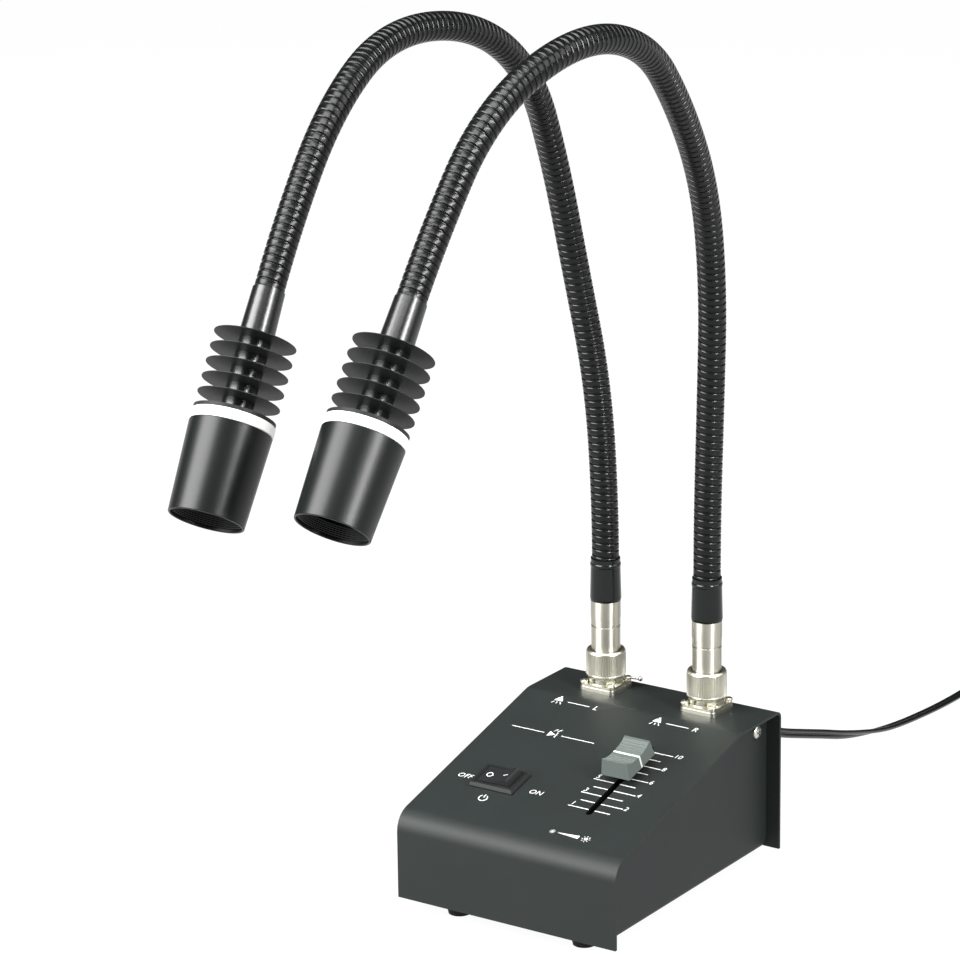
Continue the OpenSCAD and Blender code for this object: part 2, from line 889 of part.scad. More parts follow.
module socket_screws() {
    color(plated)
        for (arm = [left_arm, right_arm])
            on_strip(arm)
                at_flange_screws() {
                    translate([0, 0, collar_z])
                        pan_screw(m2_d, 7, m2_head_d, m2_head_h);
                    translate([0, 0, -sheet_t - 1.6])
                        difference() {
                            cylinder(d = 4.6, h = 1.6, $fn = 6);
                            translate([0, 0, -past])
                                cylinder(d = m2_d + 0.1, h = 1.6 + 2 * past);
                        }
                }
}

// Insulating blocks with two pins, one in each socket
module contact_blocks() {
    for (arm = [left_arm, right_arm])
        on_strip(arm) {
            color("#2a2a2a")
                difference() {
                    translate([0, 0, -8])
                        cylinder(d = 8.2, h = 14.5);
                    for (x = [-1.8, 1.8])
                        translate([x, 0, -9])
                            cylinder(d = 1.3, h = 20);
                }
            color("#c9a24a")
                for (x = [-1.8, 1.8])
                    translate([x, 0, -11.5])
                        cylinder(d = 1.2, h = 21);
        }
}

// Plated barrel with its tongue in the socket and the shoulder that holds the coupling nut
module plug(arm) {
    color(plated)
        on_strip(arm)
            difference() {
                rotate_extrude()
                    polygon([
                        [0, 7], [4, 7], [4, 13.25], [5.45, 13.25], [5.45, 14.7], [4.6, 14.7],
                        [4.6, barrel_z], [barrel_low_d / 2 - 0.4, barrel_z],
                        [barrel_low_d / 2, barrel_z + 0.4], [barrel_low_d / 2, 28],
                        [barrel_low_d / 2 - 0.3, 28.2], [barrel_low_d / 2 - 0.3, 28.7],
                        [barrel_low_d / 2 + 0.05, 28.9], [barrel_low_d / 2 + 0.05, crimp_z - 0.6],
                        [barrel_d / 2, crimp_z], [barrel_d / 2, boot_z], [0, boot_z]
                    ]);
                translate([0, 0, 6])
                    cylinder(d = 6.4, h = 5);
                translate([0, 0, 10])
                    cylinder(d = 5, h = 30);
            }
}

// Knurled ring that screws the plug down on the socket
module coupling_nut(arm) {
    tooth = 360 / nut_knurls;
    color(plated)
        on_strip(arm)
            difference() {
                intersection() {
                    rotate_extrude()
                        polygon([
                            [0, nut_z], [nut_d / 2 - 0.4, nut_z], [nut_d / 2, nut_z + 0.4],
                            [nut_d / 2, nut_top_z - 0.8], [nut_rim_d / 2, nut_top_z], [0, nut_top_z]
                        ]);
                    linear_extrude(nut_top_z + 1)
                        polygon([
                            for (k = [0 : nut_knurls - 1]) each [
                                nut_d / 2 * [cos(tooth * k), sin(tooth * k)],
                                nut_d / 2 * [cos(tooth * (k + 0.45)), sin(tooth * (k + 0.45))],
                                (nut_d / 2 - 0.35) * [cos(tooth * (k + 0.72)), sin(tooth * (k + 0.72))]
                            ]
                        ]);
                }
                translate([0, 0, nut_z - past])
                    cylinder(d = 11.3, h = nut_web_z[0] - nut_z + past);
                cylinder(d = 9.6, h = nut_top_z + past);
                translate([0, 0, nut_web_z[1]])
                    cylinder(d = nut_recess_d, h = nut_top_z);
            }
}

module boot(arm) {
    bottom_r = boot_low_d / 2;
    top_r = boot_top_d / 2;
    color("#1b1b1c")
        on_strip(arm)
            difference() {
                rotate_extrude()
                    polygon([
                        [0, boot_z], [bottom_r - 1, boot_z],
                        for (k = [1 : 4]) [
                            bottom_r - 1 + sin(k * 22.5), boot_z + 1 - cos(k * 22.5)
                        ],
                        [bottom_r - 0.1, 44.5], [top_r + 0.05, 54.4], [top_r + 0.25, 54.8],
                        [top_r + 0.25, 55.8], [top_r, 56.2], [top_r, neck_z], [0, neck_z]
                    ]);
                translate([0, 0, neck_z - stub_l])
                    cylinder(r = stub_bore_r, h = stub_l + past);
                cylinder(d = lead_bore_d, h = neck_z);
            }
}

// Lamp head

module sleeve(arm) {
    color(satin_black)
        at_head(arm)
            difference() {
                cylinder(d1 = sleeve_top_d, d2 = sleeve_low_d, h = sleeve_l);
                translate([0, 0, -past])
                    cylinder(r = stub_bore_r, h = stub_l + past);
                cylinder(d = lead_bore_d, h = sleeve_l + past);
            }
}

// Core and thin fins, turned from one bar, with the plate that the white ring sits on
module heat_sink(arm) {
    fin_tip = fin_t / 3;
    color(satin_black)
        at_head(arm)
            difference() {
                rotate_extrude()
                    polygon([
                        [0, sleeve_l],
                        for (k = [0 : fins - 1])
                            let (z = sleeve_l + k * fin_pitch)
                            each [
                                [core_d / 2, z], [fin_d / 2, z + fin_tip], [fin_d / 2, z + 2 * fin_tip],
                                [core_d / 2, z + fin_t]
                            ],
                        [core_d / 2, plate_at], [fin_d / 2, plate_at], [fin_d / 2, ring_at], [0, ring_at]
                    ]);
                translate([0, 0, sleeve_l - past])
                    cylinder(d = lead_bore_d, h = ring_at - sleeve_l + 2 * past);
            }
}

module white_ring(arm) {
    color("#f2f2ef")
        at_head(arm)
            translate([0, 0, ring_at])
                rotate_extrude()
                    polygon([
                        [ring_bore_d / 2, 0], [ring_d / 2 - 0.3, 0], [ring_d / 2, 0.3],
                        [ring_d / 2, ring_l - 0.3], [ring_d / 2 - 0.3, ring_l], [ring_bore_d / 2, ring_l]
                    ]);
}

// Tapered outside; inside, the throat round the lens, the pocket of its rim and the open bore
module shade(arm) {
    color(satin_black)
        at_head(arm)
            difference() {
                translate([0, 0, shade_at])
                    cylinder(d1 = shade_d, d2 = mouth_d, h = shade_l);
                translate([0, 0, lens_seat_at + lens_pocket_l])
                    cylinder(d = shade_bore_d, h = shade_l);
                translate([0, 0, lens_seat_at])
                    cylinder(d = lens_pocket_d, h = shade_l / 2);
                translate([0, 0, shade_at - past])
                    cylinder(d = shade_upper_d, h = shade_l);
            }
}

// Round board with the emitter and its small dome
module led_board(arm) {
    at_head(arm)
        translate([0, 0, ring_at]) {
            color("#e8e8e4")
                cylinder(d = 22, h = 1.6);
            color("#d9c25a") {
                translate([0, 0, 2])
                    cube([5, 5, 0.9], center = true);
                translate([0, 0, 2.4])
                    intersection() {
                        sphere(d = 3.6);
                        cylinder(d = 4, h = 2);
                    }
            }
        }
}

// Conical lens over the emitter, held by its rim on the shade's step
module lens(arm) {
    low_z = ring_at + 3;
    color([0.85, 0.92, 0.95, 0.5])
        at_head(arm)
            rotate_extrude()
                polygon([
                    [2.4, low_z], [5, low_z], [10.6, lens_seat_at - 1], [10.6, lens_seat_at],
                    [13, lens_seat_at], [13, lens_seat_at + lens_rim_t], [0, lens_seat_at + lens_rim_t],
                    [0, low_z + 2.4], [2.4, low_z + 2.4]
                ]);
}

// Supply lead

module cord_run() {
    color(cord_black)
        flat_tube(smooth(cord_route, rings_a_span), lead_w, lead_t, cord_sides);
}

module cord_tail() {
    color(cord_black)
        flat_tube(smooth(tail_route, rings_a_span), lead_w, lead_t, cord_sides);
}

// Where the coil's centreline is after a number of turns, clockwise from its left side: in
// along the lower layer, up a layer over the half turn inside, and out along the upper one
function coil_point(turn) =
    let (
        wound = (coil_turns - climb_turns) / 2,
        inward = min(turn, wound, coil_turns - turn),
        r = coil_r - turn_pitch * inward,
        climb = min(max((turn - wound) / climb_turns, 0), 1),
        z = coil_low_z + layer_pitch * climb
    )
    [coil_at[0] - r * cos(360 * turn), coil_at[1] + r * sin(360 * turn), z];

coil_line = [
    for (i = [0 : coil_turns * loop_rings]) coil_point(i / loop_rings)
];

// Least gap between turns: the distance of two points that are half a turn or more apart, less
// the reach of the lead's oval section along the line between them
coil_gap = min([
    for (i = [0 : len(coil_line) - 1], j = [i + loop_rings / 2 : 1 : len(coil_line) - 1])
        let (
            apart = coil_line[j] - coil_line[i],
            leads = norm([norm([apart[0], apart[1]]) / lead_w, apart[2] / lead_t])
        )
        norm(apart) * (1 - 1 / leads)
]);

module cord_coil() {
    echo(least_gap_between_turns = coil_gap);
    color(cord_black)
        flat_tube(
            concat([coil_line[0] - [0, lead_w, 0]], coil_line,
                [coil_line[len(coil_line) - 1] - [0, lead_w, 0]]),
            lead_w, lead_t, coil_sides
        );
}

// A band round the bundle of turns, on the side away from the box
module coil_tie() {
    inner_r = coil_r - turn_pitch * (coil_turns - climb_turns) / 2;
    low = coil_low_z - lead_t / 2 - fit;
    high = coil_low_z + layer_pitch + lead_t / 2 + fit;
    reach = [inner_r - lead_w / 2 - 2.4, coil_r + lead_w / 2 + fit];
    color("#222222")
        translate([coil_at[0], coil_at[1], 0])
            difference() {
                translate([-tie_w / 2, reach[0] - tie_t, low - tie_t])
                    cube([tie_w, reach[1] - reach[0] + 2 * tie_t, high - low + 2 * tie_t]);
                translate([-tie_w, reach[0], low])
                    cube([2 * tie_w, reach[1] - reach[0], high - low]);
            }
}

// Small wall adapter lying on the table, with two flat pins and its own strain relief
module power_adapter() {
    x = tail_route[0][0];
    relief_y = tail_route[len(tail_route) - 1][1];
    relief_z = tail_route[len(tail_route) - 1][2];
    color(cord_black) {
        hull()
            for (dx = [-1, 1], dy = [0, 1], dz = [0, 1])
                translate([
                    x + dx * (adapter_w / 2 - adapter_r),
                    adapter_y + adapter_r + dy * (adapter_l - 2 * adapter_r),
                    adapter_r + dz * (adapter_h - 2 * adapter_r)
                ])
                    sphere(adapter_r, $fn = 16);
        translate([x, adapter_y + adapter_l - 0.5, relief_z])
            rotate([-90, 0, 0])
                cylinder(d1 = 7, d2 = 5.6, h = relief_y - adapter_y - adapter_l + 0.5);
    }
    color("#c9a24a")
        for (dx = [-1, 1])
            translate([x + dx * pin_gap / 2, adapter_y - pin_size[1] / 2 + 1, adapter_h / 2])
                cube(pin_size + [0, 2, 0], center = true);
}

housing_wrap();
chassis();
case_screws();
feet();
foot_screws();
switch_body();
switch_rocker();
slider_pot();
slider_lever();
slider_knob();
driver_board();
board_pillars();
cord_grommet();
socket(left_arm);  // left_socket
socket(right_arm);  // right_socket
socket_screws();
contact_blocks();
plug(left_arm);  // left_plug
plug(right_arm);  // right_plug
coupling_nut(left_arm);  // left_coupling_nut
coupling_nut(right_arm);  // right_coupling_nut
boot(left_arm);  // left_boot
boot(right_arm);  // right_boot
neck(left_arm, 1);  // left_neck_1
neck(left_arm, 2);  // left_neck_2
neck(left_arm, 3);  // left_neck_3
neck(left_arm, 4);  // left_neck_4
neck(left_arm, 5);  // left_neck_5
neck(left_arm, 6);  // left_neck_6
neck(left_arm, 7);  // left_neck_7
neck(left_arm, 8);  // left_neck_8
neck(left_arm, 9);  // left_neck_9
neck(right_arm, 1);  // right_neck_1
neck(right_arm, 2);  // right_neck_2
neck(right_arm, 3);  // right_neck_3
neck(right_arm, 4);  // right_neck_4
neck(right_arm, 5);  // right_neck_5
neck(right_arm, 6);  // right_neck_6
neck(right_arm, 7);  // right_neck_7
neck(right_arm, 8);  // right_neck_8
neck(right_arm, 9);  // right_neck_9
sleeve(left_arm);  // left_sleeve
heat_sink(left_arm);  // left_heat_sink
white_ring(left_arm);  // left_white_ring
shade(left_arm);  // left_shade
led_board(left_arm);  // left_led_board
lens(left_arm);  // left_lens
sleeve(right_arm);  // right_sleeve
heat_sink(right_arm);  // right_heat_sink
white_ring(right_arm);  // right_white_ring
shade(right_arm);  // right_shade
led_board(right_arm);  // right_led_board
lens(right_arm);  // right_lens
lamp_lead(left_arm);  // left_lamp_lead
lamp_lead(right_arm);  // right_lamp_lead
cord_run();
cord_coil();
cord_tail();
coil_tie();
power_adapter();
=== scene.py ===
"""Twin gooseneck spot light: the looks of its surfaces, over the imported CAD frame."""

import math

import bmesh
import bpy
import numpy as np
from mathutils import Matrix, Vector


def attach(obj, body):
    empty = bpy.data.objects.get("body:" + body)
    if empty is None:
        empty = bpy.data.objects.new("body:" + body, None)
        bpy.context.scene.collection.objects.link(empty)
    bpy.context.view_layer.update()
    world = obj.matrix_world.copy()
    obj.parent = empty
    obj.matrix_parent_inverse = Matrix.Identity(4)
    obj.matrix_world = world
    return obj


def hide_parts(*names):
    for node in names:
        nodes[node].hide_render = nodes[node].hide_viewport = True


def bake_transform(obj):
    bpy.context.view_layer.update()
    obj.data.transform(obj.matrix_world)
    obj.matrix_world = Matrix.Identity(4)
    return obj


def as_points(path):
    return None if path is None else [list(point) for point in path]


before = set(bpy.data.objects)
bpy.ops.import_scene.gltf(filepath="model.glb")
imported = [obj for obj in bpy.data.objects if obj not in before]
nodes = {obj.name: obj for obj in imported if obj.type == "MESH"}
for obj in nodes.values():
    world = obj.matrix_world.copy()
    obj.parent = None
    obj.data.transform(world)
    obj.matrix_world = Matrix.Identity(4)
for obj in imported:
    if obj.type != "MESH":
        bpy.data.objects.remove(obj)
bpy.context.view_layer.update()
MM = 0.001
# Points nearer than this, in metres, are one point
WELD = 1e-6

# Control box, in millimetres from table level under the box's middle, as the frame has them
BOX_D = 130
BOX_H = 68
FRONT_H = 42
FLAT_D = 32
SLOPE = math.atan((BOX_H - FRONT_H) / (BOX_D - FLAT_D))
ARM_X = {"left": -24.65, "right": 25.35}
ARM_Y = 50.5
NECK_Z = 126

# On the sloping panel: across it, up the slope from its front edge, and out of it
SWITCH = (-25.4, 36.3)
ROCKER_TIP = math.radians(22)
ROCKER_PIVOT = 0.4
ROCKER_VALLEY = 1.8
SLOT_X = 22.6
SLOT_W = 2.7
SLOT_L = 51.6
SCALE_LOW = 31.3
SCALE_PITCH = 5
SCALE_MARKS = 10
SLIDER_V = 61


# Meshes


def new_object(name, points, faces, smooth=30):
    """A mesh object from points in millimetres, with smooth shading up to an angle in degrees."""
    mesh = bpy.data.meshes.new(name)
    mesh.from_pydata([[c * MM for c in p] for p in points], [], faces)
    mesh.validate()
    tidy = bmesh.new()
    tidy.from_mesh(mesh)
    bmesh.ops.remove_doubles(tidy, verts=tidy.verts, dist=WELD)
    bmesh.ops.recalc_face_normals(tidy, faces=tidy.faces)
    tidy.to_mesh(mesh)
    tidy.free()
    mesh.shade_smooth()
    mesh.set_sharp_from_angle(angle=math.radians(smooth))
    made = bpy.data.objects.new(name, mesh)
    bpy.context.scene.collection.objects.link(made)
    return made


def joined(*parts):
    """One list of points and one of faces out of several."""
    points, faces = [], []
    for more_points, more_faces in parts:
        faces += [[i + len(points) for i in face] for face in more_faces]
        points += [tuple(p) for p in more_points]
    return points, faces


def placed(part, place):
    """The same part with its points moved by place, a function from (x, y, z) to a point."""
    points, faces = part
    return [place(*p) for p in points], faces


def ring_faces(rings, sides, closed=False):
    """Faces between rings of points that follow each other, and from the last to the first if closed."""
    faces = []
    for i in range(rings if closed else rings - 1):
        here, there = i * sides, (i + 1) % rings * sides
        for k in range(sides):
            beside = (k + 1) % sides
            faces.append([here + k, here + beside, there + beside, there + k])
    return faces


def tube_faces(rings, sides):
    """Faces of a tube made of rings, with a cap on both ends."""
    last = (rings - 1) * sides
    caps = [list(range(sides))[::-1], list(range(last, last + sides))]
    return ring_faces(rings, sides) + caps


def lathe(profile, segments):
    """A closed profile of (radius, height) turned about Z."""
    points, faces = [], []
    n = len(profile)
    for k in range(segments):
        a = 2 * math.pi * k / segments
        points += [(r * math.cos(a), r * math.sin(a), z) for r, z in profile]
    for k in range(segments):
        here, there = k * n, (k + 1) % segments * n
        faces += [[here + i, there + i, there + (i + 1) % n, here + (i + 1) % n] for i in range(n)]
    return points, faces


def prism(outline, low, high):
    """An outline of (x, y) between two heights."""
    n = len(outline)
    points = [(x, y, z) for z in (low, high) for x, y in outline]
    faces = [list(range(n))[::-1], list(range(n, 2 * n))]
    faces += [[i, (i + 1) % n, n + (i + 1) % n, n + i] for i in range(n)]
    return points, faces


def arc(cx, cy, radius, start, end, steps):
    """Points of a circular arc, angles in degrees."""
    turns = [math.radians(start + (end - start) * k / steps) for k in range(steps + 1)]
    return [(cx + radius * math.cos(t), cy + radius * math.sin(t)) for t in turns]


def rectangle(x0, y0, x1, y1):
    """Outline of a rectangle from its lowest to its highest corner."""
    return [(x0, y0), (x1, y0), (x1, y1), (x0, y1)]


def ribbon(line, width):
    """An outline of the given width along a line of (x, y) points."""
    left, right = [], []
    for i, p in enumerate(line):
        before = Vector(line[max(i - 1, 0)])
        after = Vector(line[min(i + 1, len(line) - 1)])
        side = (after - before).normalized().orthogonal() * width / 2
        left.append(tuple(Vector(p) + side))
        right.append(tuple(Vector(p) - side))
    return left + right[::-1]


def bevel(piece, width):
    """Rounds a piece's edges by a width in millimetres."""
    round_edges = piece.modifiers.new("bevel", "BEVEL")
    round_edges.width = width * MM
    round_edges.segments = 2
    round_edges.limit_method = "ANGLE"
    round_edges.angle_limit = math.radians(40)
    round_edges.harden_normals = True


# Places


def on_panel(x, v, n=0):
    """A point on the sloping panel: across, up the slope, and out of it."""
    return (
        x,
        -BOX_D / 2 + v * math.cos(SLOPE) - n * math.sin(SLOPE),
        FRONT_H + v * math.sin(SLOPE) + n * math.cos(SLOPE),
    )


def panel_shift(x, v):
    """A function that puts a point on the panel, from a place on it."""
    return lambda a, b, c: on_panel(x + a, v + b, c)


def on_strip(side):
    """A function that puts a point at an arm's socket, heights from the flat strip."""
    return lambda x, y, z: (ARM_X[side] + x, ARM_Y + y, BOX_H + z)


def on_knob(x, n, v):
    """A point at the slider's knob: across it, out of the panel, and along the travel."""
    return on_panel(SLOT_X + x, SLIDER_V + v, n)


def towards(azimuth, elevation):
    """The direction from the object to a camera or a light, in degrees, with azimuth 0 in front."""
    a, e = math.radians(azimuth), math.radians(elevation)
    return Vector((math.sin(a) * math.cos(e), -math.cos(a) * math.cos(e), math.sin(e)))


# Materials

# Scale of the cloudy noise that varies each colour, to the metre
CLOUD_SCALE = 55


def noise(tree, place, scale, detail):
    """The value of a noise texture over a piece's own coordinates."""
    texture = tree.nodes.new("ShaderNodeTexNoise")
    texture.inputs["Scale"].default_value = scale
    texture.inputs["Detail"].default_value = detail
    tree.links.new(place.outputs["Object"], texture.inputs["Vector"])
    return texture.outputs["Fac"]


def material(
    name, colour, roughness, metallic=0.0, *, spread, grain, bump, specular=0.5, rough_spread=0.08, **more
):
    """A finish whose colour and roughness vary by their spreads, with a fine grain.

    The grain's size and the bump's height are in millimetres. More names further sockets of the shader.
    """
    made = bpy.data.materials.new(name)
    made.use_nodes = True
    tree = made.node_tree
    shader = tree.nodes["Principled BSDF"]
    shader.inputs["Metallic"].default_value = metallic
    shader.inputs["Specular IOR Level"].default_value = specular
    for key, value in more.items():
        shader.inputs[key.replace("_", " ")].default_value = value
    place = tree.nodes.new("ShaderNodeTexCoord")
    cloud = noise(tree, place, scale=CLOUD_SCALE, detail=5)
    tint = tree.nodes.new("ShaderNodeValToRGB")
    dark, light = tint.color_ramp.elements
    dark.position = 0.3
    light.position = 0.7
    dark.color = [c * (1 - spread) for c in colour] + [1]
    light.color = [min(c * (1 + spread), 1) for c in colour] + [1]
    tree.links.new(cloud, tint.inputs["Fac"])
    tree.links.new(tint.outputs["Color"], shader.inputs["Base Color"])
    fine = noise(tree, place, scale=1 / (grain * MM * 2), detail=3)
    gloss = tree.nodes.new("ShaderNodeMapRange")
    gloss.inputs["To Min"].default_value = max(roughness - rough_spread, 0.02)
    gloss.inputs["To Max"].default_value = min(roughness + rough_spread, 1)
    tree.links.new(fine, gloss.inputs["Value"])
    tree.links.new(gloss.outputs["Result"], shader.inputs["Roughness"])
    relief = tree.nodes.new("ShaderNodeBump")
    relief.inputs["Strength"].default_value = 1
    relief.inputs["Distance"].default_value = bump * MM
    tree.links.new(fine, relief.inputs["Height"])
    tree.links.new(relief.outputs["Normal"], shader.inputs["Normal"])
    return made


def turned_about_z(look):
    """Runs a finish's brushing round the upright axis of the piece, as a lathe leaves it."""
    tree = look.node_tree
    tangent = tree.nodes.new("ShaderNodeTangent")
    tangent.direction_type = "RADIAL"
    tangent.axis = "Z"
    tree.links.new(tangent.outputs["Tangent"], tree.nodes["Principled BSDF"].inputs["Tangent"])


# Metals

nickel = material(
    "satin_nickel", (0.56, 0.545, 0.46), 0.33, 1.0,
    spread=0.04, grain=0.1, bump=0.002,
)
barrel_nickel = material(
    "turned_nickel", (0.45, 0.437, 0.372), 0.35, 1.0,
    spread=0.04, grain=0.1, bump=0.002, rough_spread=0.04, Anisotropic=0.85, Anisotropic_Rotation=0.25,
)
turned_about_z(barrel_nickel)
zinc = material(
    "bright_zinc", (0.56, 0.56, 0.53), 0.28, 1.0,
    spread=0.06, grain=0.1, bump=0.003,
)
brass = material(
    "brass", (0.75, 0.58, 0.28), 0.25, 1.0,
    spread=0.06, grain=0.1, bump=0.003,
)

# Paint, black finishes of metal, and ink

paint = material(
    "panel_paint", (0.0082, 0.0104, 0.0099), 0.5,
    spread=0.06, grain=0.16, bump=0.03, specular=0.19,
)
neck_black = material(
    "neck_gloss_black", (0.0018, 0.0022, 0.002), 0.27,
    spread=0.3, grain=0.5, bump=0.003, specular=0.23,
)
satin = material(
    "satin_black_anodised", (0.0012, 0.0020, 0.0015), 0.34,
    spread=0.15, grain=0.06, bump=0.004, specular=0.25,
)
turned = material(
    "turned_black_anodised", (0.0020, 0.0026, 0.0023), 0.26,
    spread=0.15, grain=0.06, bump=0.003,
)
fin_black = material(
    "fin_black_anodised", (0.013, 0.0145, 0.0138), 0.42,
    spread=0.15, grain=0.06, bump=0.003, specular=0.08,
)
ink = material(
    "white_ink", (0.40, 0.405, 0.395), 0.6,
    spread=0.02, grain=0.08, bump=0.004,
)

# Plastics

white_plastic = material(
    "white_plastic", (0.62, 0.62, 0.605), 0.4,
    spread=0.02, grain=0.3, bump=0.002,
)
switch_plastic = material(
    "switch_plastic", (0.0052, 0.0062, 0.0061), 0.42,
    spread=0.1, grain=0.1, bump=0.008, specular=0.22,
)
rocker_plastic = material(
    "rocker_plastic", (0.0085, 0.0095, 0.0095), 0.32,
    spread=0.1, grain=0.1, bump=0.004, specular=0.3,
)
knob_grey = material(
    "knob_grey", (0.062, 0.073, 0.068), 0.45,
    spread=0.04, grain=0.12, bump=0.006, specular=0.3,
)
# Near black with hardly any reflection: painted shade for the slider's slot, used on the slot's lining and on
# the pot's cover seen through it
slot_shade_black = material(
    "slot_shade_black", (0.001, 0.001, 0.001), 0.8,
    spread=0.2, grain=0.1, bump=0.004, specular=0.05,
)
adapter_black = material(
    "adapter_black", (0.008, 0.009, 0.009), 0.48,
    spread=0.1, grain=0.14, bump=0.015, specular=0.25,
)
board_green = material(
    "board_green", (0.02, 0.12, 0.06), 0.35,
    spread=0.2, grain=0.3, bump=0.01,
)
lens_clear = material(
    "lens_clear", (0.93, 0.96, 0.97), 0.05,
    spread=0.01, grain=0.5, bump=0.0005, Transmission_Weight=1.0, IOR=1.49,
)

# Rubber, cord and cloth

boot_rubber = material(
    "boot_rubber", (0.003, 0.0036, 0.0035), 0.2,
    spread=0.12, grain=0.12, bump=0.003, specular=0.27,
)
foot_rubber = material(
    "foot_rubber", (0.004, 0.004, 0.004), 0.6,
    spread=0.15, grain=0.2, bump=0.01, specular=0.12,
)
cord_jacket = material(
    "cord_jacket", (0.003, 0.0034, 0.0036), 0.2,
    spread=0.12, grain=0.15, bump=0.003, specular=0.42,
)
lead_sheath = material(
    "lead_sheath", (0.62, 0.58, 0.50), 0.5,
    spread=0.05, grain=0.2, bump=0.004,
)
tie_cloth = material(
    "tie_cloth", (0.010, 0.010, 0.011), 0.9,
    spread=0.3, grain=0.25, bump=0.06,
)


def dress(piece, look, body, stands_for=()):
    """Gives a new piece its finish and, when one is named, a body, and hides the nodes that it replaces."""
    piece.data.materials.append(look)
    if body:
        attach(piece, body)
    if stands_for:
        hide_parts(*stands_for)


def finish_nodes(looks):
    """Gives CAD nodes a finish and smooth shading over their curves, from a table of node to finish."""
    for name, look in looks.items():
        node = nodes[name]
        node.data.materials.clear()
        node.data.materials.append(look)
        node.data.shade_smooth()
        weld = node.modifiers.new("weld", "WELD")
        weld.merge_threshold = WELD
        split = node.modifiers.new("split", "EDGE_SPLIT")
        split.split_angle = math.radians(28)
        node.modifiers.new("flats", "WEIGHTED_NORMAL").keep_sharp = True


# Camera, at the photograph's place: metres and degrees, and millimetres for its lens

CAMERA_AT = (0.92955, -1.44230, 0.71051)
CAMERA_AZIMUTH = 34.284
CAMERA_ELEVATION = 17.244
CAMERA_ROLL = -0.769
CAMERA_LENS = 165.87
SENSOR_W = 36


def make_camera():
    """The camera, turned about its own axis by the roll."""
    azimuth, roll = math.radians(CAMERA_AZIMUTH), math.radians(CAMERA_ROLL)
    back = towards(CAMERA_AZIMUTH, CAMERA_ELEVATION)
    right = Vector((math.cos(azimuth), math.sin(azimuth), 0))
    up = back.cross(right)
    tilted_right = math.cos(roll) * right + math.sin(roll) * up
    tilted_up = math.cos(roll) * up - math.sin(roll) * right
    data = bpy.data.cameras.new("camera")
    data.sensor_width = SENSOR_W
    data.lens = CAMERA_LENS
    data.clip_start, data.clip_end = 0.05, 50
    camera = bpy.data.objects.new("camera", data)
    turn = Matrix((tilted_right, tilted_up, back)).transposed()
    camera.matrix_world = Matrix.Translation(CAMERA_AT) @ turn.to_4x4()
    bpy.context.scene.collection.objects.link(camera)
    bpy.context.scene.camera = camera


make_camera()


# Supply lead: the same route as the frame's solids

LEAD_W = 4.3
LEAD_T = 2.1
CORD_ROUTE = [
    (26, 83, 47), (26, 90, 46.3), (26, 98, 43.8), (26, 106, 40.2), (26, 115, 36.6), (26, 129, 31.9),
    (26, 147, 26), (26, 165, 20), (25.5, 183, 14.9), (25, 203, 10.3), (24.2, 222, 7.1),
    (23.3, 240, 4.8), (22.6, 258, 3), (22.2, 275, 2), (22, 290, 1.7), (22, 303.7, 1.7),
]
TAIL_ROUTE = [
    (90, 303.7, 4.7), (90, 297, 4.3), (90, 290, 4.2), (90, 284, 5.2), (90, 279, 6.3), (90, 274, 6.5),
]
COIL_AT = (56, 308)
COIL_R = 34
COIL_TURNS = 7.5
TURN_PITCH = 5.2
LAYER_PITCH = 3
COIL_LOW_Z = 1.7
CLIMB_TURNS = 0.5
WOUND_TURNS = (COIL_TURNS - CLIMB_TURNS) / 2

# Steps of the line: between two points of the run and of the tail, and in a turn of the coil
RUN_STEPS = 4
TAIL_STEPS = 3
TURN_STEPS = 48

# The lead hangs on edge: how far it is turned, and where along it the turn starts, is full,
# starts to go back and has ended
ON_EDGE = math.radians(86)
EDGE_AT = (2, 26, 68, 138)


def smooth_line(points, spans):
    """A smooth curve through points, with several steps between each two."""
    p = [np.array(q, float) for q in points]
    line = []
    for i in range(len(p) - 1):
        a, b, c, d = p[max(i - 1, 0)], p[i], p[i + 1], p[min(i + 2, len(p) - 1)]
        second = 2 * a - 5 * b + 4 * c - d
        third = 3 * b - a - 3 * c + d
        for k in range(spans):
            t = k / spans
            line.append(b + ((c - a) * t + second * t**2 + third * t**3) / 2)
    return line + [p[-1]]


def coil_point(turn):
    """A point of the coil, which winds in on the lower layer and out again on the upper one."""
    inward = min(turn, WOUND_TURNS, COIL_TURNS - turn)
    r = COIL_R - TURN_PITCH * inward
    climb = min(max((turn - WOUND_TURNS) / CLIMB_TURNS, 0), 1)
    a = 2 * math.pi * turn
    return np.array([
        COIL_AT[0] - r * math.cos(a),
        COIL_AT[1] + r * math.sin(a),
        COIL_LOW_Z + LAYER_PITCH * climb,
    ])


def edge_turn(s):
    """How far the lead is turned on edge at a distance along it."""
    start, full, back, flat = EDGE_AT
    rise = min(max((s - start) / (full - start), 0), 1)
    fall = min(max((flat - s) / (flat - back), 0), 1)
    ease = min(rise, fall)
    return ON_EDGE * ease * ease * (3 - 2 * ease)


def flat_twin(line, turns):
    """A tube of two round cores along a line, joined by a web, and turned about the line at each point."""
    core_r = LEAD_T / 2
    offset = (LEAD_W - LEAD_T) / 2
    web = 24
    section = arc(offset, 0, core_r, web - 180, 180 - web, 14) + arc(-offset, 0, core_r, web, 360 - web, 14)
    points = []
    for i, (p, turn) in enumerate(zip(line, turns)):
        t = line[min(i + 1, len(line) - 1)] - line[max(i - 1, 0)]
        t = t / np.linalg.norm(t)
        s = np.cross(t, (0, 0, 1))
        s = s / np.linalg.norm(s)
        u = np.cross(s, t)
        across = s * math.cos(turn) + u * math.sin(turn)
        over = u * math.cos(turn) - s * math.sin(turn)
        points += [tuple(p + across * x + over * z) for x, z in section]
    return points, tube_faces(len(line), len(section))


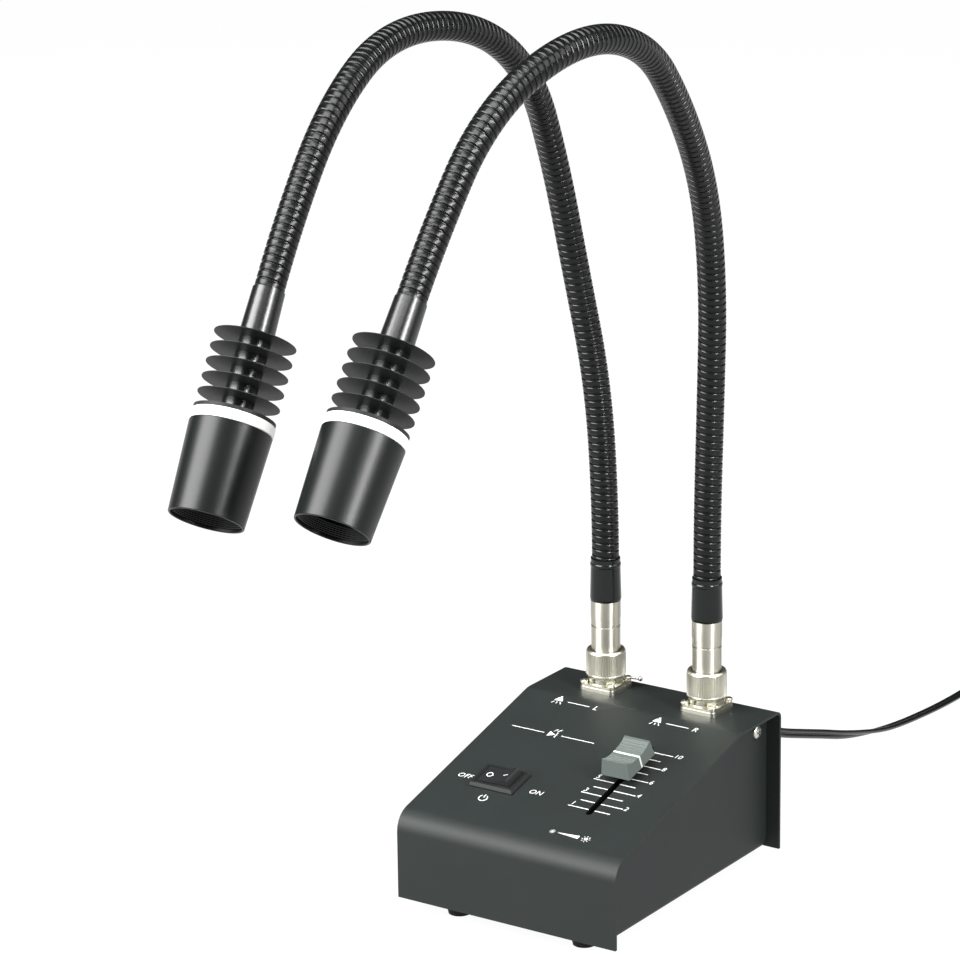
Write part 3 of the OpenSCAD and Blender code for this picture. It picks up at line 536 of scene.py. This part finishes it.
def make_supply_lead():
    """The lead from the box to the adapter, and the points that it follows."""
    run = smooth_line(CORD_ROUTE, RUN_STEPS)
    coil = [coil_point(i / TURN_STEPS) for i in range(1, int(COIL_TURNS * TURN_STEPS))]
    tail = smooth_line(TAIL_ROUTE, TAIL_STEPS)
    line = run + coil + tail
    steps = [np.linalg.norm(b - a) for a, b in zip(line, line[1:])]
    turns = [edge_turn(s) for s in np.cumsum([0] + steps)]
    made = new_object("supply_lead", *flat_twin(line, turns))
    dress(made, cord_jacket, "base", ["cord_run", "cord_coil", "cord_tail"])
    return made, [tuple(p * MM) for p in line]


# Wall adapter, from its near end by the blades to the lead's tail

ADAPTER_X = 90
ADAPTER_Y = 222
ADAPTER_W = 28
ADAPTER_L = 44
ADAPTER_H = 26
ADAPTER_CORNER = 3
BLADE_SPACING = 12.7
BLADE_W = 6.3
BLADE_T = 1.5
BLADE_L = 16.6


def case_outline(inset):
    """The case's section with round corners, drawn in by an inset."""
    w, h, r = ADAPTER_W / 2 - inset, ADAPTER_H / 2 - inset, ADAPTER_CORNER - inset / 2
    corners = ((w - r, h - r, 0), (r - w, h - r, 90), (r - w, r - h, 180), (w - r, r - h, 270))
    return [p for x, z, start in corners for p in arc(x, z, r, start, start + 90, 6)]


def make_adapter_case():
    """A case with round edges and a parting groove, from stations of distance and inset."""
    edge = [(0, 2.2), (0.35, 1.2), (1, 0.5), (2.4, 0.05), (4, 0)]
    groove = [(13, 0), (13.15, 0.35), (13.65, 0.35), (13.8, 0)]
    stations = edge + groove + [(ADAPTER_L - y, inset) for y, inset in edge[::-1]]
    points = []
    for y, inset in stations:
        points += [(ADAPTER_X + a, ADAPTER_Y + y, ADAPTER_H / 2 + b) for a, b in case_outline(inset)]
    n = len(case_outline(0))
    ends = [list(range(n)), list(range(len(points) - n, len(points)))[::-1]]
    case = new_object("adapter_case", points, ring_faces(len(stations), n) + ends)
    dress(case, adapter_black, "base", ["power_adapter"])
    return case


def make_adapter_relief():
    """A tapered strain relief with three ribs, round the lead's end."""
    profile = [(0, -0.5), (3.5, -0.5), (3.5, 0)]
    for k in range(3):
        y, crest, valley = 2.2 * k, 3.35 - 0.2 * k, 2.8 - 0.15 * k
        profile += [(crest, 0.6 + y), (valley, 0.8 + y), (valley, 1.7 + y), (crest - 0.05, 1.9 + y)]
    profile += [(2.7, 7.7), (2.5, 8), (0, 8)]
    low_z = TAIL_ROUTE[-1][2]
    relief = new_object(
        "adapter_relief",
        *placed(lathe(profile, 32), lambda a, b, c: (ADAPTER_X + a, ADAPTER_Y + ADAPTER_L + c, low_z + b)),
    )
    dress(relief, cord_jacket, "base")
    return relief


def make_adapter_blades():
    """Two flat blades, narrowed at their tips."""
    half, tip_half = BLADE_W / 2, 2.2
    shoulder = BLADE_L - 2
    sunk = 0.3
    outline = [
        (-half, 0), (half, 0), (half, shoulder), (tip_half, BLADE_L), (-tip_half, BLADE_L), (-half, shoulder),
    ]
    blades = [
        placed(
            prism(outline, -BLADE_T / 2, BLADE_T / 2),
            lambda a, b, c, x=x: (x + c, ADAPTER_Y + sunk - b, ADAPTER_H / 2 + a),
        )
        for x in (ADAPTER_X - BLADE_SPACING / 2, ADAPTER_X + BLADE_SPACING / 2)
    ]
    prongs = new_object("adapter_blades", *joined(*blades))
    bevel(prongs, 0.25)
    dress(prongs, nickel, "base")
    return prongs


def make_tie():
    """A woven band round the coil's turns, closed over itself."""
    tie_w, tie_t = 7, 0.5
    clear, over, slack = 0.4, 0.6, 2.6
    low = COIL_LOW_Z - LEAD_T / 2 - clear
    high = COIL_LOW_Z + LAYER_PITCH + LEAD_T / 2 + clear
    near = COIL_R - TURN_PITCH * WOUND_TURNS - LEAD_W / 2 - slack
    far = COIL_R + LEAD_W / 2 + clear
    r, middle = (high - low) / 2, (low + high) / 2
    loop = arc(far - r + over, middle, r, -90, 90, 8) + arc(near + r - over, middle, r, 90, 270, 8)
    band = ribbon(loop + [loop[0]], tie_t)
    n = len(band)
    points = [(COIL_AT[0] + x, COIL_AT[1] + y, z) for x in (-tie_w / 2, tie_w / 2) for y, z in band]
    faces = []
    for i in range(n // 2 - 1):
        j = n - 1 - i
        faces += [[i, i + 1, i + 1 + n, i + n], [j, j + n, j - 1 + n, j - 1]]
        faces += [[i, j, j - 1, i + 1], [i + n, i + 1 + n, j - 1 + n, j + n]]
    made = new_object("coil_tie_band", points, faces)
    dress(made, tie_cloth, "base", ["coil_tie"])
    return made


lead, lead_line = make_supply_lead()
adapter = [make_adapter_case(), make_adapter_relief(), make_adapter_blades()]
tie = make_tie()
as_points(lead_line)


# Goosenecks

NECK_L = 455
NECK_PIECES = 8
NECK_END = 5
NECK_TURNS = 147
NECK_SIDES = 28
NECK_STEPS = 1456
RIB_PITCH = NECK_L / NECK_TURNS
# Each arm's tilts and sways, in degrees at even distances along it
ARMS = {
    "right": ((0, -2, 8, 21, 39, 48, 79, 113, 142, 142), (0, 0.5, 6, 8, 9, 8, 1, -8, -3, 2)),
    "left": ((0, -1, 8, 17, 32, 58, 84, 111, 142, 146), (0, -4.5, -7, 0, 7, 3, -4, 8, 1, 4)),
}
# One rib of the wound strip: the share of its pitch, and the radius there
RIB = [
    (0, 5.3), (0.08, 5.3), (0.14, 5.66), (0.22, 5.8), (0.34, 5.75), (0.62, 5.75), (0.82, 5.8), (0.93, 5.62),
]
RIB_ROWS = len(RIB)
STUB_R = 5.15
# How far in from a piece's ends two points of its centreline are worked out
BEND_MARGIN = 6.5
# The lamp lead's radius, and how far it goes on past the gooseneck, into the plug and into the head
CORE_R = 1.4
CORE_IN_PLUG = 36
CORE_IN_HEAD = 46


class Arm:
    """The centreline of one arm and the directions along and across it."""

    def __init__(self, side):
        self.tilts, self.sways = ARMS[side]
        self.at = [np.array([ARM_X[side], ARM_Y, NECK_Z], float)]
        for i in range(NECK_STEPS):
            step = self.axes((i + 0.5) * NECK_L / NECK_STEPS)[0]
            self.at.append(self.at[-1] + step * NECK_L / NECK_STEPS)

    def axes(self, s):
        """The directions along, across and upwards at a distance from the plug."""
        where = min(max(s / NECK_L, 0), 1) * (len(self.tilts) - 1)
        a = math.radians(np.interp(where, range(len(self.tilts)), self.tilts))
        b = math.radians(np.interp(where, range(len(self.sways)), self.sways))
        along = np.array([math.sin(b), -math.cos(b) * math.sin(a), math.cos(b) * math.cos(a)])
        across = np.array([math.cos(b), math.sin(a) * math.sin(b), -math.cos(a) * math.sin(b)])
        return along, across, np.array([0, math.cos(a), math.sin(a)])

    def point(self, s):
        """A point of the centreline, which runs on straight past both ends."""
        where = min(max(s / NECK_L, 0), 1) * NECK_STEPS
        low = min(int(where), NECK_STEPS - 1)
        inside = self.at[low] + (self.at[low + 1] - self.at[low]) * (where - low)
        beyond = s - min(max(s, 0), NECK_L)
        return inside + beyond * self.axes(s)[0]

    def round_it(self, s, angle, r):
        """A point of radius r about the centreline."""
        _, across, upward = self.axes(s)
        return tuple(self.point(s) + r * (math.cos(angle) * upward + math.sin(angle) * across))

    def head(self):
        """A function that puts a point at the lamp head, Z from the gooseneck's end to the mouth."""
        along, across, upward = self.axes(NECK_L)
        end = self.at[-1]
        return lambda x, y, z: tuple(end + x * across + y * upward + z * along)


def wound_strip(arm, first, last):
    """The helical surface between two rows of the winding, closed at both ends."""

    def row_s(i):
        turn, j = divmod(i, RIB_ROWS)
        return (turn + RIB[j][0]) * RIB_PITCH

    def vertex(i, k):
        s = row_s(i) + RIB_PITCH * k / NECK_SIDES
        r = RIB[i % RIB_ROWS][1] if 0 < s < NECK_L else STUB_R
        return arm.round_it(s, 2 * math.pi * k / NECK_SIDES, r)

    points, index = [], {}
    for i in range(first, last + RIB_ROWS + 1):
        for k in range(NECK_SIDES if i <= last else 1):
            index[i, k] = len(points)
            points.append(vertex(i, k))
    faces = []
    for i in range(first, last):
        for k in range(NECK_SIDES - 1):
            faces.append([index[i, k], index[i, k + 1], index[i + 1, k + 1], index[i + 1, k]])
        faces.append([
            index[i, NECK_SIDES - 1], index[i + RIB_ROWS, 0],
            index[i + RIB_ROWS + 1, 0], index[i + 1, NECK_SIDES - 1],
        ])
    for i in (first, last):
        rim = [index[i, k] for k in range(NECK_SIDES)]
        rim += [index[i + m, 0] for m in range(RIB_ROWS, 0, -1)]
        middle = len(points)
        points.append(tuple(arm.point(row_s(i) + RIB_PITCH / 2)))
        faces += [[middle, rim[m], rim[(m + 1) % len(rim)]] for m in range(len(rim))]
    return points, faces


def core_tube(arm, low, high):
    """The lamp lead between two distances along the arm."""
    sides, steps = 12, 14
    points = []
    for i in range(steps + 1):
        s = low + (high - low) * i / steps
        points += [arm.round_it(s, 2 * math.pi * k / sides, CORE_R) for k in range(sides)]
    return points, tube_faces(steps + 1, sides)


def make_neck(side):
    """Eight pieces of gooseneck and lamp lead, each across one joint, from the middle of a stretch to the
    next middle.
    """
    arm = Arm(side)
    span = NECK_L / NECK_PIECES
    for piece in range(NECK_PIECES):
        at_plug, at_head = piece == 0, piece == NECK_PIECES - 1
        low, high = piece * span, (piece + 1) * span
        first = -math.ceil(NECK_END / RIB_PITCH) if at_plug else round(low / RIB_PITCH)
        last = math.ceil(high / RIB_PITCH) if at_head else round(high / RIB_PITCH)
        strip = wound_strip(arm, first * RIB_ROWS, last * RIB_ROWS)
        neck = new_object(f"{side}_gooseneck_{piece + 1}", *strip, smooth=24)
        tube = core_tube(arm, -CORE_IN_PLUG if at_plug else low, high + CORE_IN_HEAD if at_head else high)
        core = new_object(f"{side}_lamp_lead_{piece + 1}", *tube)
        ends = [[c * MM for c in arm.point(s)] for s in (low + BEND_MARGIN, high - BEND_MARGIN)]
        for made in (neck, core):
            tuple(ends[0])
            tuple(ends[1])
            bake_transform(made)
        stands_for = [f"{side}_neck_{piece + 1}"]
        if at_head:
            stands_for.append(f"{side}_neck_{NECK_PIECES + 1}")
        dress(neck, neck_black, None, stands_for)
        dress(core, lead_sheath, None, [f"{side}_lamp_lead"] if at_plug else [])
    return arm


arms = {side: make_neck(side) for side in ARM_X}


# Lamp heads, distances from the gooseneck's end

SHADE_AT = 54.25
SHADE_L = 35.4
MOUTH_AT = SHADE_AT + SHADE_L
SHADE_R = (15.75, 14.4)
BORE_R = 13.5
BACK_R = 12
LENS_SEAT = 63.85
LENS_SEAT_R = 13.15
LENS_SEAT_L = 1.3
THREAD_IN = 1.2
THREAD_PITCH = 0.75
THREAD_TURNS = 6
THREAD_DEPTH = 0.32
FINS = 5
FIN_AT = 19.3
FIN_PITCH = 5.9
# The skin's radius, and where it starts and ends between two fins, a hair off both
CORE_SKIN_R = 6.03
CORE_SKIN_START = 0.72
CORE_SKIN_END = 0.02


def make_shade(side, arm):
    """Tapered tube with rounded rims, a step for the lens and a fine thread inside the mouth."""

    def outer(z):
        return SHADE_R[0] + (SHADE_R[1] - SHADE_R[0]) * (z - SHADE_AT) / SHADE_L

    profile = [(BACK_R, SHADE_AT), (outer(SHADE_AT) - 0.3, SHADE_AT), (outer(SHADE_AT), SHADE_AT + 0.3)]
    profile += [(outer(z), z) for z in (SHADE_AT + 9, SHADE_AT + 18, SHADE_AT + 27)]
    profile += [(outer(MOUTH_AT), MOUTH_AT - 0.25), (outer(MOUTH_AT) - 0.2, MOUTH_AT)]
    profile += [(BORE_R + 0.25, MOUTH_AT), (BORE_R + 0.05, MOUTH_AT - 0.25)]
    z = MOUTH_AT - THREAD_IN
    for _ in range(THREAD_TURNS):
        profile += [(BORE_R, z), (BORE_R + THREAD_DEPTH, z - THREAD_PITCH / 2)]
        z -= THREAD_PITCH
    profile += [(BORE_R, z), (BORE_R, LENS_SEAT + LENS_SEAT_L)]
    profile += [(LENS_SEAT_R, LENS_SEAT + LENS_SEAT_L), (LENS_SEAT_R, LENS_SEAT), (BACK_R, LENS_SEAT)]
    shade = new_object(f"{side}_shade_tube", *placed(lathe(profile, 96), arm.head()), smooth=28)
    dress(shade, satin, f"{side}_head", [f"{side}_shade"])


def make_core_skin(side, arm):
    """The polished core between the fins, a hair over the solid one."""
    outer, inner = CORE_SKIN_R, CORE_SKIN_R - 0.4
    skins = []
    for k in range(FINS):
        low = FIN_AT + FIN_PITCH * k + CORE_SKIN_START
        high = FIN_AT + FIN_PITCH * (k + 1) - CORE_SKIN_END
        skins.append(lathe([(inner, low), (outer, low), (outer, high), (inner, high)], 48))
    skin = new_object(f"{side}_core_skin", *placed(joined(*skins), arm.head()))
    dress(skin, turned, f"{side}_head")


for side, arm in arms.items():
    make_shade(side, arm)
    make_core_skin(side, arm)
    finish_nodes({
        f"{side}_sleeve": turned,
        f"{side}_heat_sink": fin_black,
        f"{side}_white_ring": white_plastic,
        f"{side}_lens": lens_clear,
        f"{side}_led_board": white_plastic,
    })


# Plugs and sockets, heights from the flat strip

NUT_R = 8.5
NUT_LOW = 5.7
NUT_HIGH = 17.45
NUT_BORE_R = 5.65
NUT_MOUTH_R = 6.6
NUT_LIP_R = 4.8
NUT_LIP = (14.85, 15.85)
KNURL_TEETH = 72
KNURL_DEPTH = 0.26


def make_coupling_nut(side):
    """Ring with a fine straight knurl between two plain chamfers."""
    r, z0, z1 = NUT_R, NUT_LOW, NUT_HIGH
    lip_low, lip_high = NUT_LIP
    # Height, radius, and whether the knurl cuts in there: the outside, then the mouth, the lip and the bore
    rings = [
        (z0, r - 0.4, False), (z0 + 0.35, r - 0.05, False), (z0 + 1.1, r, False), (z0 + 1.5, r, True),
        (z1 - 1.25, r, True), (z1 - 1, r - 0.05, False), (z1 - 0.7, r - 0.1, False),
        (z1 - 0.25, r - 0.35, False), (z1, r - 0.6, False),
        (z1, NUT_MOUTH_R + 0.15, False), (z1 - 0.15, NUT_MOUTH_R, False), (lip_high, NUT_MOUTH_R, False),
        (lip_high, NUT_LIP_R, False), (lip_low, NUT_LIP_R, False),
        (lip_low, NUT_BORE_R, False), (z0, NUT_BORE_R, False),
    ]
    tooth = (0, 0, KNURL_DEPTH, KNURL_DEPTH)
    n = KNURL_TEETH * len(tooth)
    points = []
    for z, radius, cut in rings:
        for k in range(n):
            a = 2 * math.pi * k / n
            reach = radius - (tooth[k % len(tooth)] if cut else 0)
            points.append((reach * math.cos(a), reach * math.sin(a), z))
    ring = placed((points, ring_faces(len(rings), n, closed=True)), on_strip(side))
    nut = new_object(f"{side}_knurled_nut", *ring, smooth=32)
    dress(nut, nickel, f"{side}_nut", [f"{side}_coupling_nut"])


for side in ARM_X:
    make_coupling_nut(side)
    finish_nodes({
        f"{side}_socket": nickel,
        f"{side}_plug": barrel_nickel,
        f"{side}_boot": boot_rubber,
    })


# Signs printed on the panel: figures, ON and OFF, and plain pictograms

INK_T = 0.04
INK_SUNK = 0.01
LETTER_SLANT = 0.18
LETTER_SPACING = 1.06


def sign(outline, place):
    """One printed shape: an outline on the panel, a hair thick."""
    return placed(prism(outline, -INK_SUNK, INK_T), place)


def italic(word, size, x, v):
    """Points and faces of a word in the built-in face, on the panel."""
    curve = bpy.data.curves.new("word", "FONT")
    curve.body = word
    curve.size = size
    curve.shear = LETTER_SLANT
    curve.space_character = LETTER_SPACING
    curve.extrude = INK_T / 2
    curve.resolution_u = 3
    text = bpy.data.objects.new("word", curve)
    bpy.context.scene.collection.objects.link(text)
    bpy.context.view_layer.update()
    mesh = bpy.data.meshes.new_from_object(text.evaluated_get(bpy.context.evaluated_depsgraph_get()))
    points = [on_panel(x + p.co.x, v + p.co.y, p.co.z + INK_T / 2) for p in mesh.vertices]
    faces = [list(f.vertices) for f in mesh.polygons]
    bpy.data.objects.remove(text)
    bpy.data.curves.remove(curve)
    bpy.data.meshes.remove(mesh)
    return points, faces


def scale_marks():
    """Ten pairs of lines beside the slot, long on the side of their figure."""
    half_t, gap, figure_size = 0.25, 1.5, 3.6
    parts = []
    for k in range(SCALE_MARKS):
        v = SCALE_LOW + SCALE_PITCH * k
        figure_left = k % 2 == 0
        left_l, right_l = (11.3, 8.8) if figure_left else (8.3, 11.9)
        left, right = SLOT_X - left_l, SLOT_X + right_l
        for low, high in ((left, SLOT_X - gap), (SLOT_X + gap, right)):
            parts.append(sign(rectangle(low, v - half_t, high, v + half_t), on_panel))
        at = (left + 0.2, v + 0.9) if figure_left else (right + 0.3, v - 0.6)
        parts.append(italic(str(k + 1), figure_size, *at))
    return parts


def power_sign(x, v):
    """Broken ring with a bar at the top."""
    place = panel_shift(x, v)
    r = 1.9
    return [
        sign(ribbon(arc(0, 0, r, 125, 415, 24), 0.45), place),
        sign(rectangle(-0.23, 0.4, 0.23, r + 0.6), place),
    ]


def sun(r, place):
    """A disc with eight rays that start at a radius."""
    steps, rays = 24, 8
    parts = [sign(arc(0, 0, r * 0.62, 0, 360 - 360 / steps, steps - 1), place)]
    for k in range(rays):
        a = 2 * math.pi * k / rays
        ray = [(math.cos(a) * r * reach, math.sin(a) * r * reach) for reach in (1.0, 1.6)]
        parts.append(sign(ribbon(ray, 0.28), place))
    return parts


def brightness_sign(x, v):
    """A small sun, a long wedge and a larger sun."""
    wedge = [(2.6, -0.12), (12.6, -1.0), (12.6, 1.0), (2.6, 0.12)]
    suns = sun(0.8, panel_shift(x, v)) + sun(1.3, panel_shift(x + 16, v))
    return suns + [sign(wedge, panel_shift(x, v))]


def lamp_sign(x, v, letter):
    """A small lamp head that shines down, a line and the letter of its side."""
    place = panel_shift(x, v)
    parts = [sign([(-2.1, -0.4), (2.1, -0.4), (1.0, 1.9), (-1.0, 1.9)], place)]
    parts.append(sign(rectangle(-0.5, 2.2, 0.5, 3.0), place))
    for k in (-1, 0, 1):
        parts.append(sign(ribbon([(1.4 * k, -1.1), (2.3 * k, -2.5)], 0.42), place))
    parts.append(sign(ribbon([(4.6, 0), (15.4, 0)], 0.4), place))
    parts.append(italic(letter, 4.1, x + 17.4, v - 1.4))
    return parts


def emitter_sign(x, v):
    """A diode with two rays, between two lines."""
    place = panel_shift(x, v)
    parts = [sign([(-2.2, -1.8), (1.2, 0), (-2.2, 1.8)], place)]
    parts.append(sign(rectangle(1.4, -1.8, 1.9, 1.8), place))
    for shift in (0, 1.8):
        parts.append(sign(ribbon([(-0.9 + shift, 2.1), (0.2 + shift, 3.5)], 0.36), place))
        parts.append(sign([(0.7 + shift, 4.1), (-0.25 + shift, 3.6), (0.4 + shift, 3.05)], place))
    for low, high in ((-20.4, -4.4), (4.2, 20.4)):
        parts.append(sign(ribbon([(low, 0), (high, 0)], 0.4), place))
    return parts


def make_panel_signs():
    """Every sign of the panel as one piece."""
    parts = scale_marks()
    parts.append(italic("OFF", 3.9, -45.2, 33.4))
    parts.append(italic("ON", 3.9, -9.6, 33.0))
    parts += power_sign(-25.4, 23.3)
    parts += brightness_sign(15.2, 12.9)
    parts += emitter_sign(-22.8, 73.6)
    parts += lamp_sign(-34.4, 96.8, "L")
    parts += lamp_sign(14.4, 96.8, "R")
    signs = new_object("panel_signs", *joined(*parts))
    dress(signs, ink, "base")


make_panel_signs()


# Switch and slider

# The knob's hollow in the source: its radius, and its axis out of the panel
HOLLOW_R = 21
HOLLOW_AXIS = 29.52
# The band over the lever's top: half its width across the knob and half its length along the travel
SADDLE_HALF_W = 6.18
SADDLE_HALF_L = 2.04
SADDLE_LOW = 8.3


def on_rocker(half):
    """A function that puts a point on one half of the rocker's face: along it, across it, off it."""
    tipped = ROCKER_TIP / 2
    valley = ROCKER_VALLEY / math.cos(tipped)

    def turn(a, c, angle):
        return a * math.cos(angle) - c * math.sin(angle), a * math.sin(angle) + c * math.cos(angle)

    def place(a, b, c):
        along, out = turn(a, c, half * tipped)
        along, out = turn(along, out + valley, tipped)
        return on_panel(SWITCH[0] + along, SWITCH[1] + b, ROCKER_PIVOT + out)

    return place


def make_rocker_marks():
    """A ring on the left half of the rocker and a dash on the right half."""
    ring = ribbon(arc(-4.2, 0, 1.3, 0, 360, 28), 0.42)
    dash = rectangle(2.9, -0.26, 5.4, 0.26)
    marks = new_object("rocker_marks", *joined(sign(ring, on_rocker(-1)), sign(dash, on_rocker(1))))
    dress(marks, ink, "rocker")


def paint_slot_shade():
    """Painted shade in the slot: a black sheet over the slot's walls, with a narrow lip of it on the panel
    round the slot's edge.
    """
    half_w, wall, lip = SLOT_W / 2, 0.12, 0.1
    half_l = SLOT_L / 2 - half_w
    middle = SCALE_LOW + SCALE_PITCH * (SCALE_MARKS - 1) / 2
    low, seat, high = -1.15, 0.005, 0.03

    def loop(inset):
        r = half_w - inset
        return arc(0, half_l, r, 0, 180, 12) + arc(0, -half_l, r, 180, 360, 12)

    edge, outer, inner = loop(0), loop(-lip), loop(wall)
    rings = [(edge, low), (edge, seat), (outer, seat), (outer, high), (inner, high), (inner, low)]
    points = [on_panel(SLOT_X + x, middle + y, z) for ring, z in rings for x, y in ring]
    shade_sheet = new_object("painted_slot_shade", points, ring_faces(len(rings), len(edge), closed=True))
    dress(shade_sheet, slot_shade_black, "base")


def make_knob_line():
    """White pointer line over the knob's hollow and down its right side."""
    line = [(-6.21, 8.5), (6.21, 8.5), (6.75, 3.5), (6.81, 3.5), (6.28, 8.56), (-6.21, 8.56)]
    mark = new_object("knob_line", *placed(prism(line, -0.5, 0.5), on_knob))
    dress(mark, ink, "slider")


def make_knob_saddle():
    """The smooth band under the pointer line, over the top of the lever."""

    def hollow(v):
        return HOLLOW_AXIS - math.sqrt(HOLLOW_R**2 - v**2)

    half = [SADDLE_HALF_L, 1.95, 1.3, 0.65]
    top = [(v, hollow(v)) for v in half + [0] + [-v for v in half[::-1]]]
    outline = [(-SADDLE_HALF_L, SADDLE_LOW), (SADDLE_HALF_L, SADDLE_LOW)] + top
    saddle = new_object(
        "knob_saddle",
        *placed(prism(outline, -SADDLE_HALF_W, SADDLE_HALF_W), lambda v, n, x: on_knob(x, n, v)),
    )
    dress(saddle, knob_grey, "slider")


def make_retaining_pin():
    """Ball-ended pin in the rear corner of the left socket's plate."""
    start, end = Vector((7.6, 6.6, 3.6)), Vector((12.1, 8.1, 3.4))
    ball_r, shank_r, sunk = 1.05, 0.52, 2.4
    axis = (end - start).normalized()
    side = axis.cross(Vector((0, 0, 1))).normalized()
    over = side.cross(axis)
    reach = (end - start).length
    turns = [math.radians(a) for a in range(30, 181, 15)]
    profile = [(0, -sunk), (shank_r, -sunk)]
    profile += [(ball_r * math.sin(t), reach - ball_r * math.cos(t)) for t in turns]
    at = on_strip("left")
    pin = new_object(
        "retaining_pin",
        *placed(lathe(profile, 24), lambda x, y, z: at(*(start + side * x + over * y + axis * z))),
    )
    dress(pin, zinc, "base")


make_rocker_marks()
paint_slot_shade()
make_knob_line()
make_knob_saddle()
make_retaining_pin()
finish_nodes({
    "switch_body": switch_plastic,
    "switch_rocker": rocker_plastic,
    "slider_knob": knob_grey,
    "slider_lever": switch_plastic,
})


# Box, fasteners and what is inside

finish_nodes({
    "housing_wrap": paint,
    "chassis": paint,
    "case_screws": zinc,
    "foot_screws": zinc,
    "socket_screws": nickel,
    "feet": foot_rubber,
    "cord_grommet": cord_jacket,
    # The slider pot's black cover shows through the slot; it takes the slot's painted-shade black, darker
    # than the cover itself
    "slider_pot": slot_shade_black,
    "driver_board": board_green,
    "board_pillars": brass,
    "contact_blocks": switch_plastic,
})


# Floor and light

# Half the floor's side, and its height, in millimetres
FLOOR_HALF = 30000
FLOOR_Z = -0.02
# The point in metres that the lamps face
LIGHT_AIM = Vector((0, -0.08, 0.2))
# Each lamp's azimuth and elevation in degrees, distance, width and height in metres, and power in watts
VIEW_SIDE = round(CAMERA_AZIMUTH)
LAMPS = {
    "left_box": (VIEW_SIDE - 66, 28, 1.7, 1.3, 1.5, 122),
    "right_box": (VIEW_SIDE + 45, 26, 1.7, 0.24, 1.5, 66),
    "side_box": (VIEW_SIDE + 84, 36, 1.7, 1.0, 1.0, 14),
    "top_box": (10, 78, 1.9, 1.3, 1.3, 70),
}


def make_floor():
    """A plain pale floor, a hair under the feet."""
    corners = rectangle(-FLOOR_HALF, -FLOOR_HALF, FLOOR_HALF, FLOOR_HALF)
    floor = new_object("floor", [(x, y, FLOOR_Z) for x, y in corners], [[0, 1, 2, 3]])
    look = bpy.data.materials.new("floor_white")
    look.use_nodes = True
    shader = look.node_tree.nodes["Principled BSDF"]
    shader.inputs["Base Color"].default_value = (0.04, 0.04, 0.04, 1)
    shader.inputs["Roughness"].default_value = 0.9
    shader.inputs["Specular IOR Level"].default_value = 0
    shader.inputs["Emission Color"].default_value = (1, 1, 1, 1)
    shader.inputs["Emission Strength"].default_value = 0.95
    floor.data.materials.append(look)


def soft_box(name, azimuth, elevation, distance, width, height, power):
    """An area light that faces the object; azimuth as a camera's."""
    back = towards(azimuth, elevation)
    data = bpy.data.lights.new(name, "AREA")
    data.shape = "RECTANGLE"
    data.size, data.size_y = width, height
    data.energy = power
    lamp = bpy.data.objects.new(name, data)
    lamp.location = LIGHT_AIM + back * distance
    lamp.rotation_mode = "QUATERNION"
    lamp.rotation_quaternion = back.to_track_quat("Z", "Y")
    bpy.context.scene.collection.objects.link(lamp)


def make_light():
    """A dim white world and four soft boxes, three of them set from the camera's side."""
    world = bpy.data.worlds.new("studio")
    bpy.context.scene.world = world
    world.use_nodes = True
    sky = world.node_tree.nodes["Background"]
    sky.inputs["Color"].default_value = (1, 1, 1, 1)
    sky.inputs["Strength"].default_value = 0.06
    for name, lamp in LAMPS.items():
        soft_box(name, *lamp)
    bpy.context.scene.view_settings.view_transform = "Standard"


make_floor()
make_light()
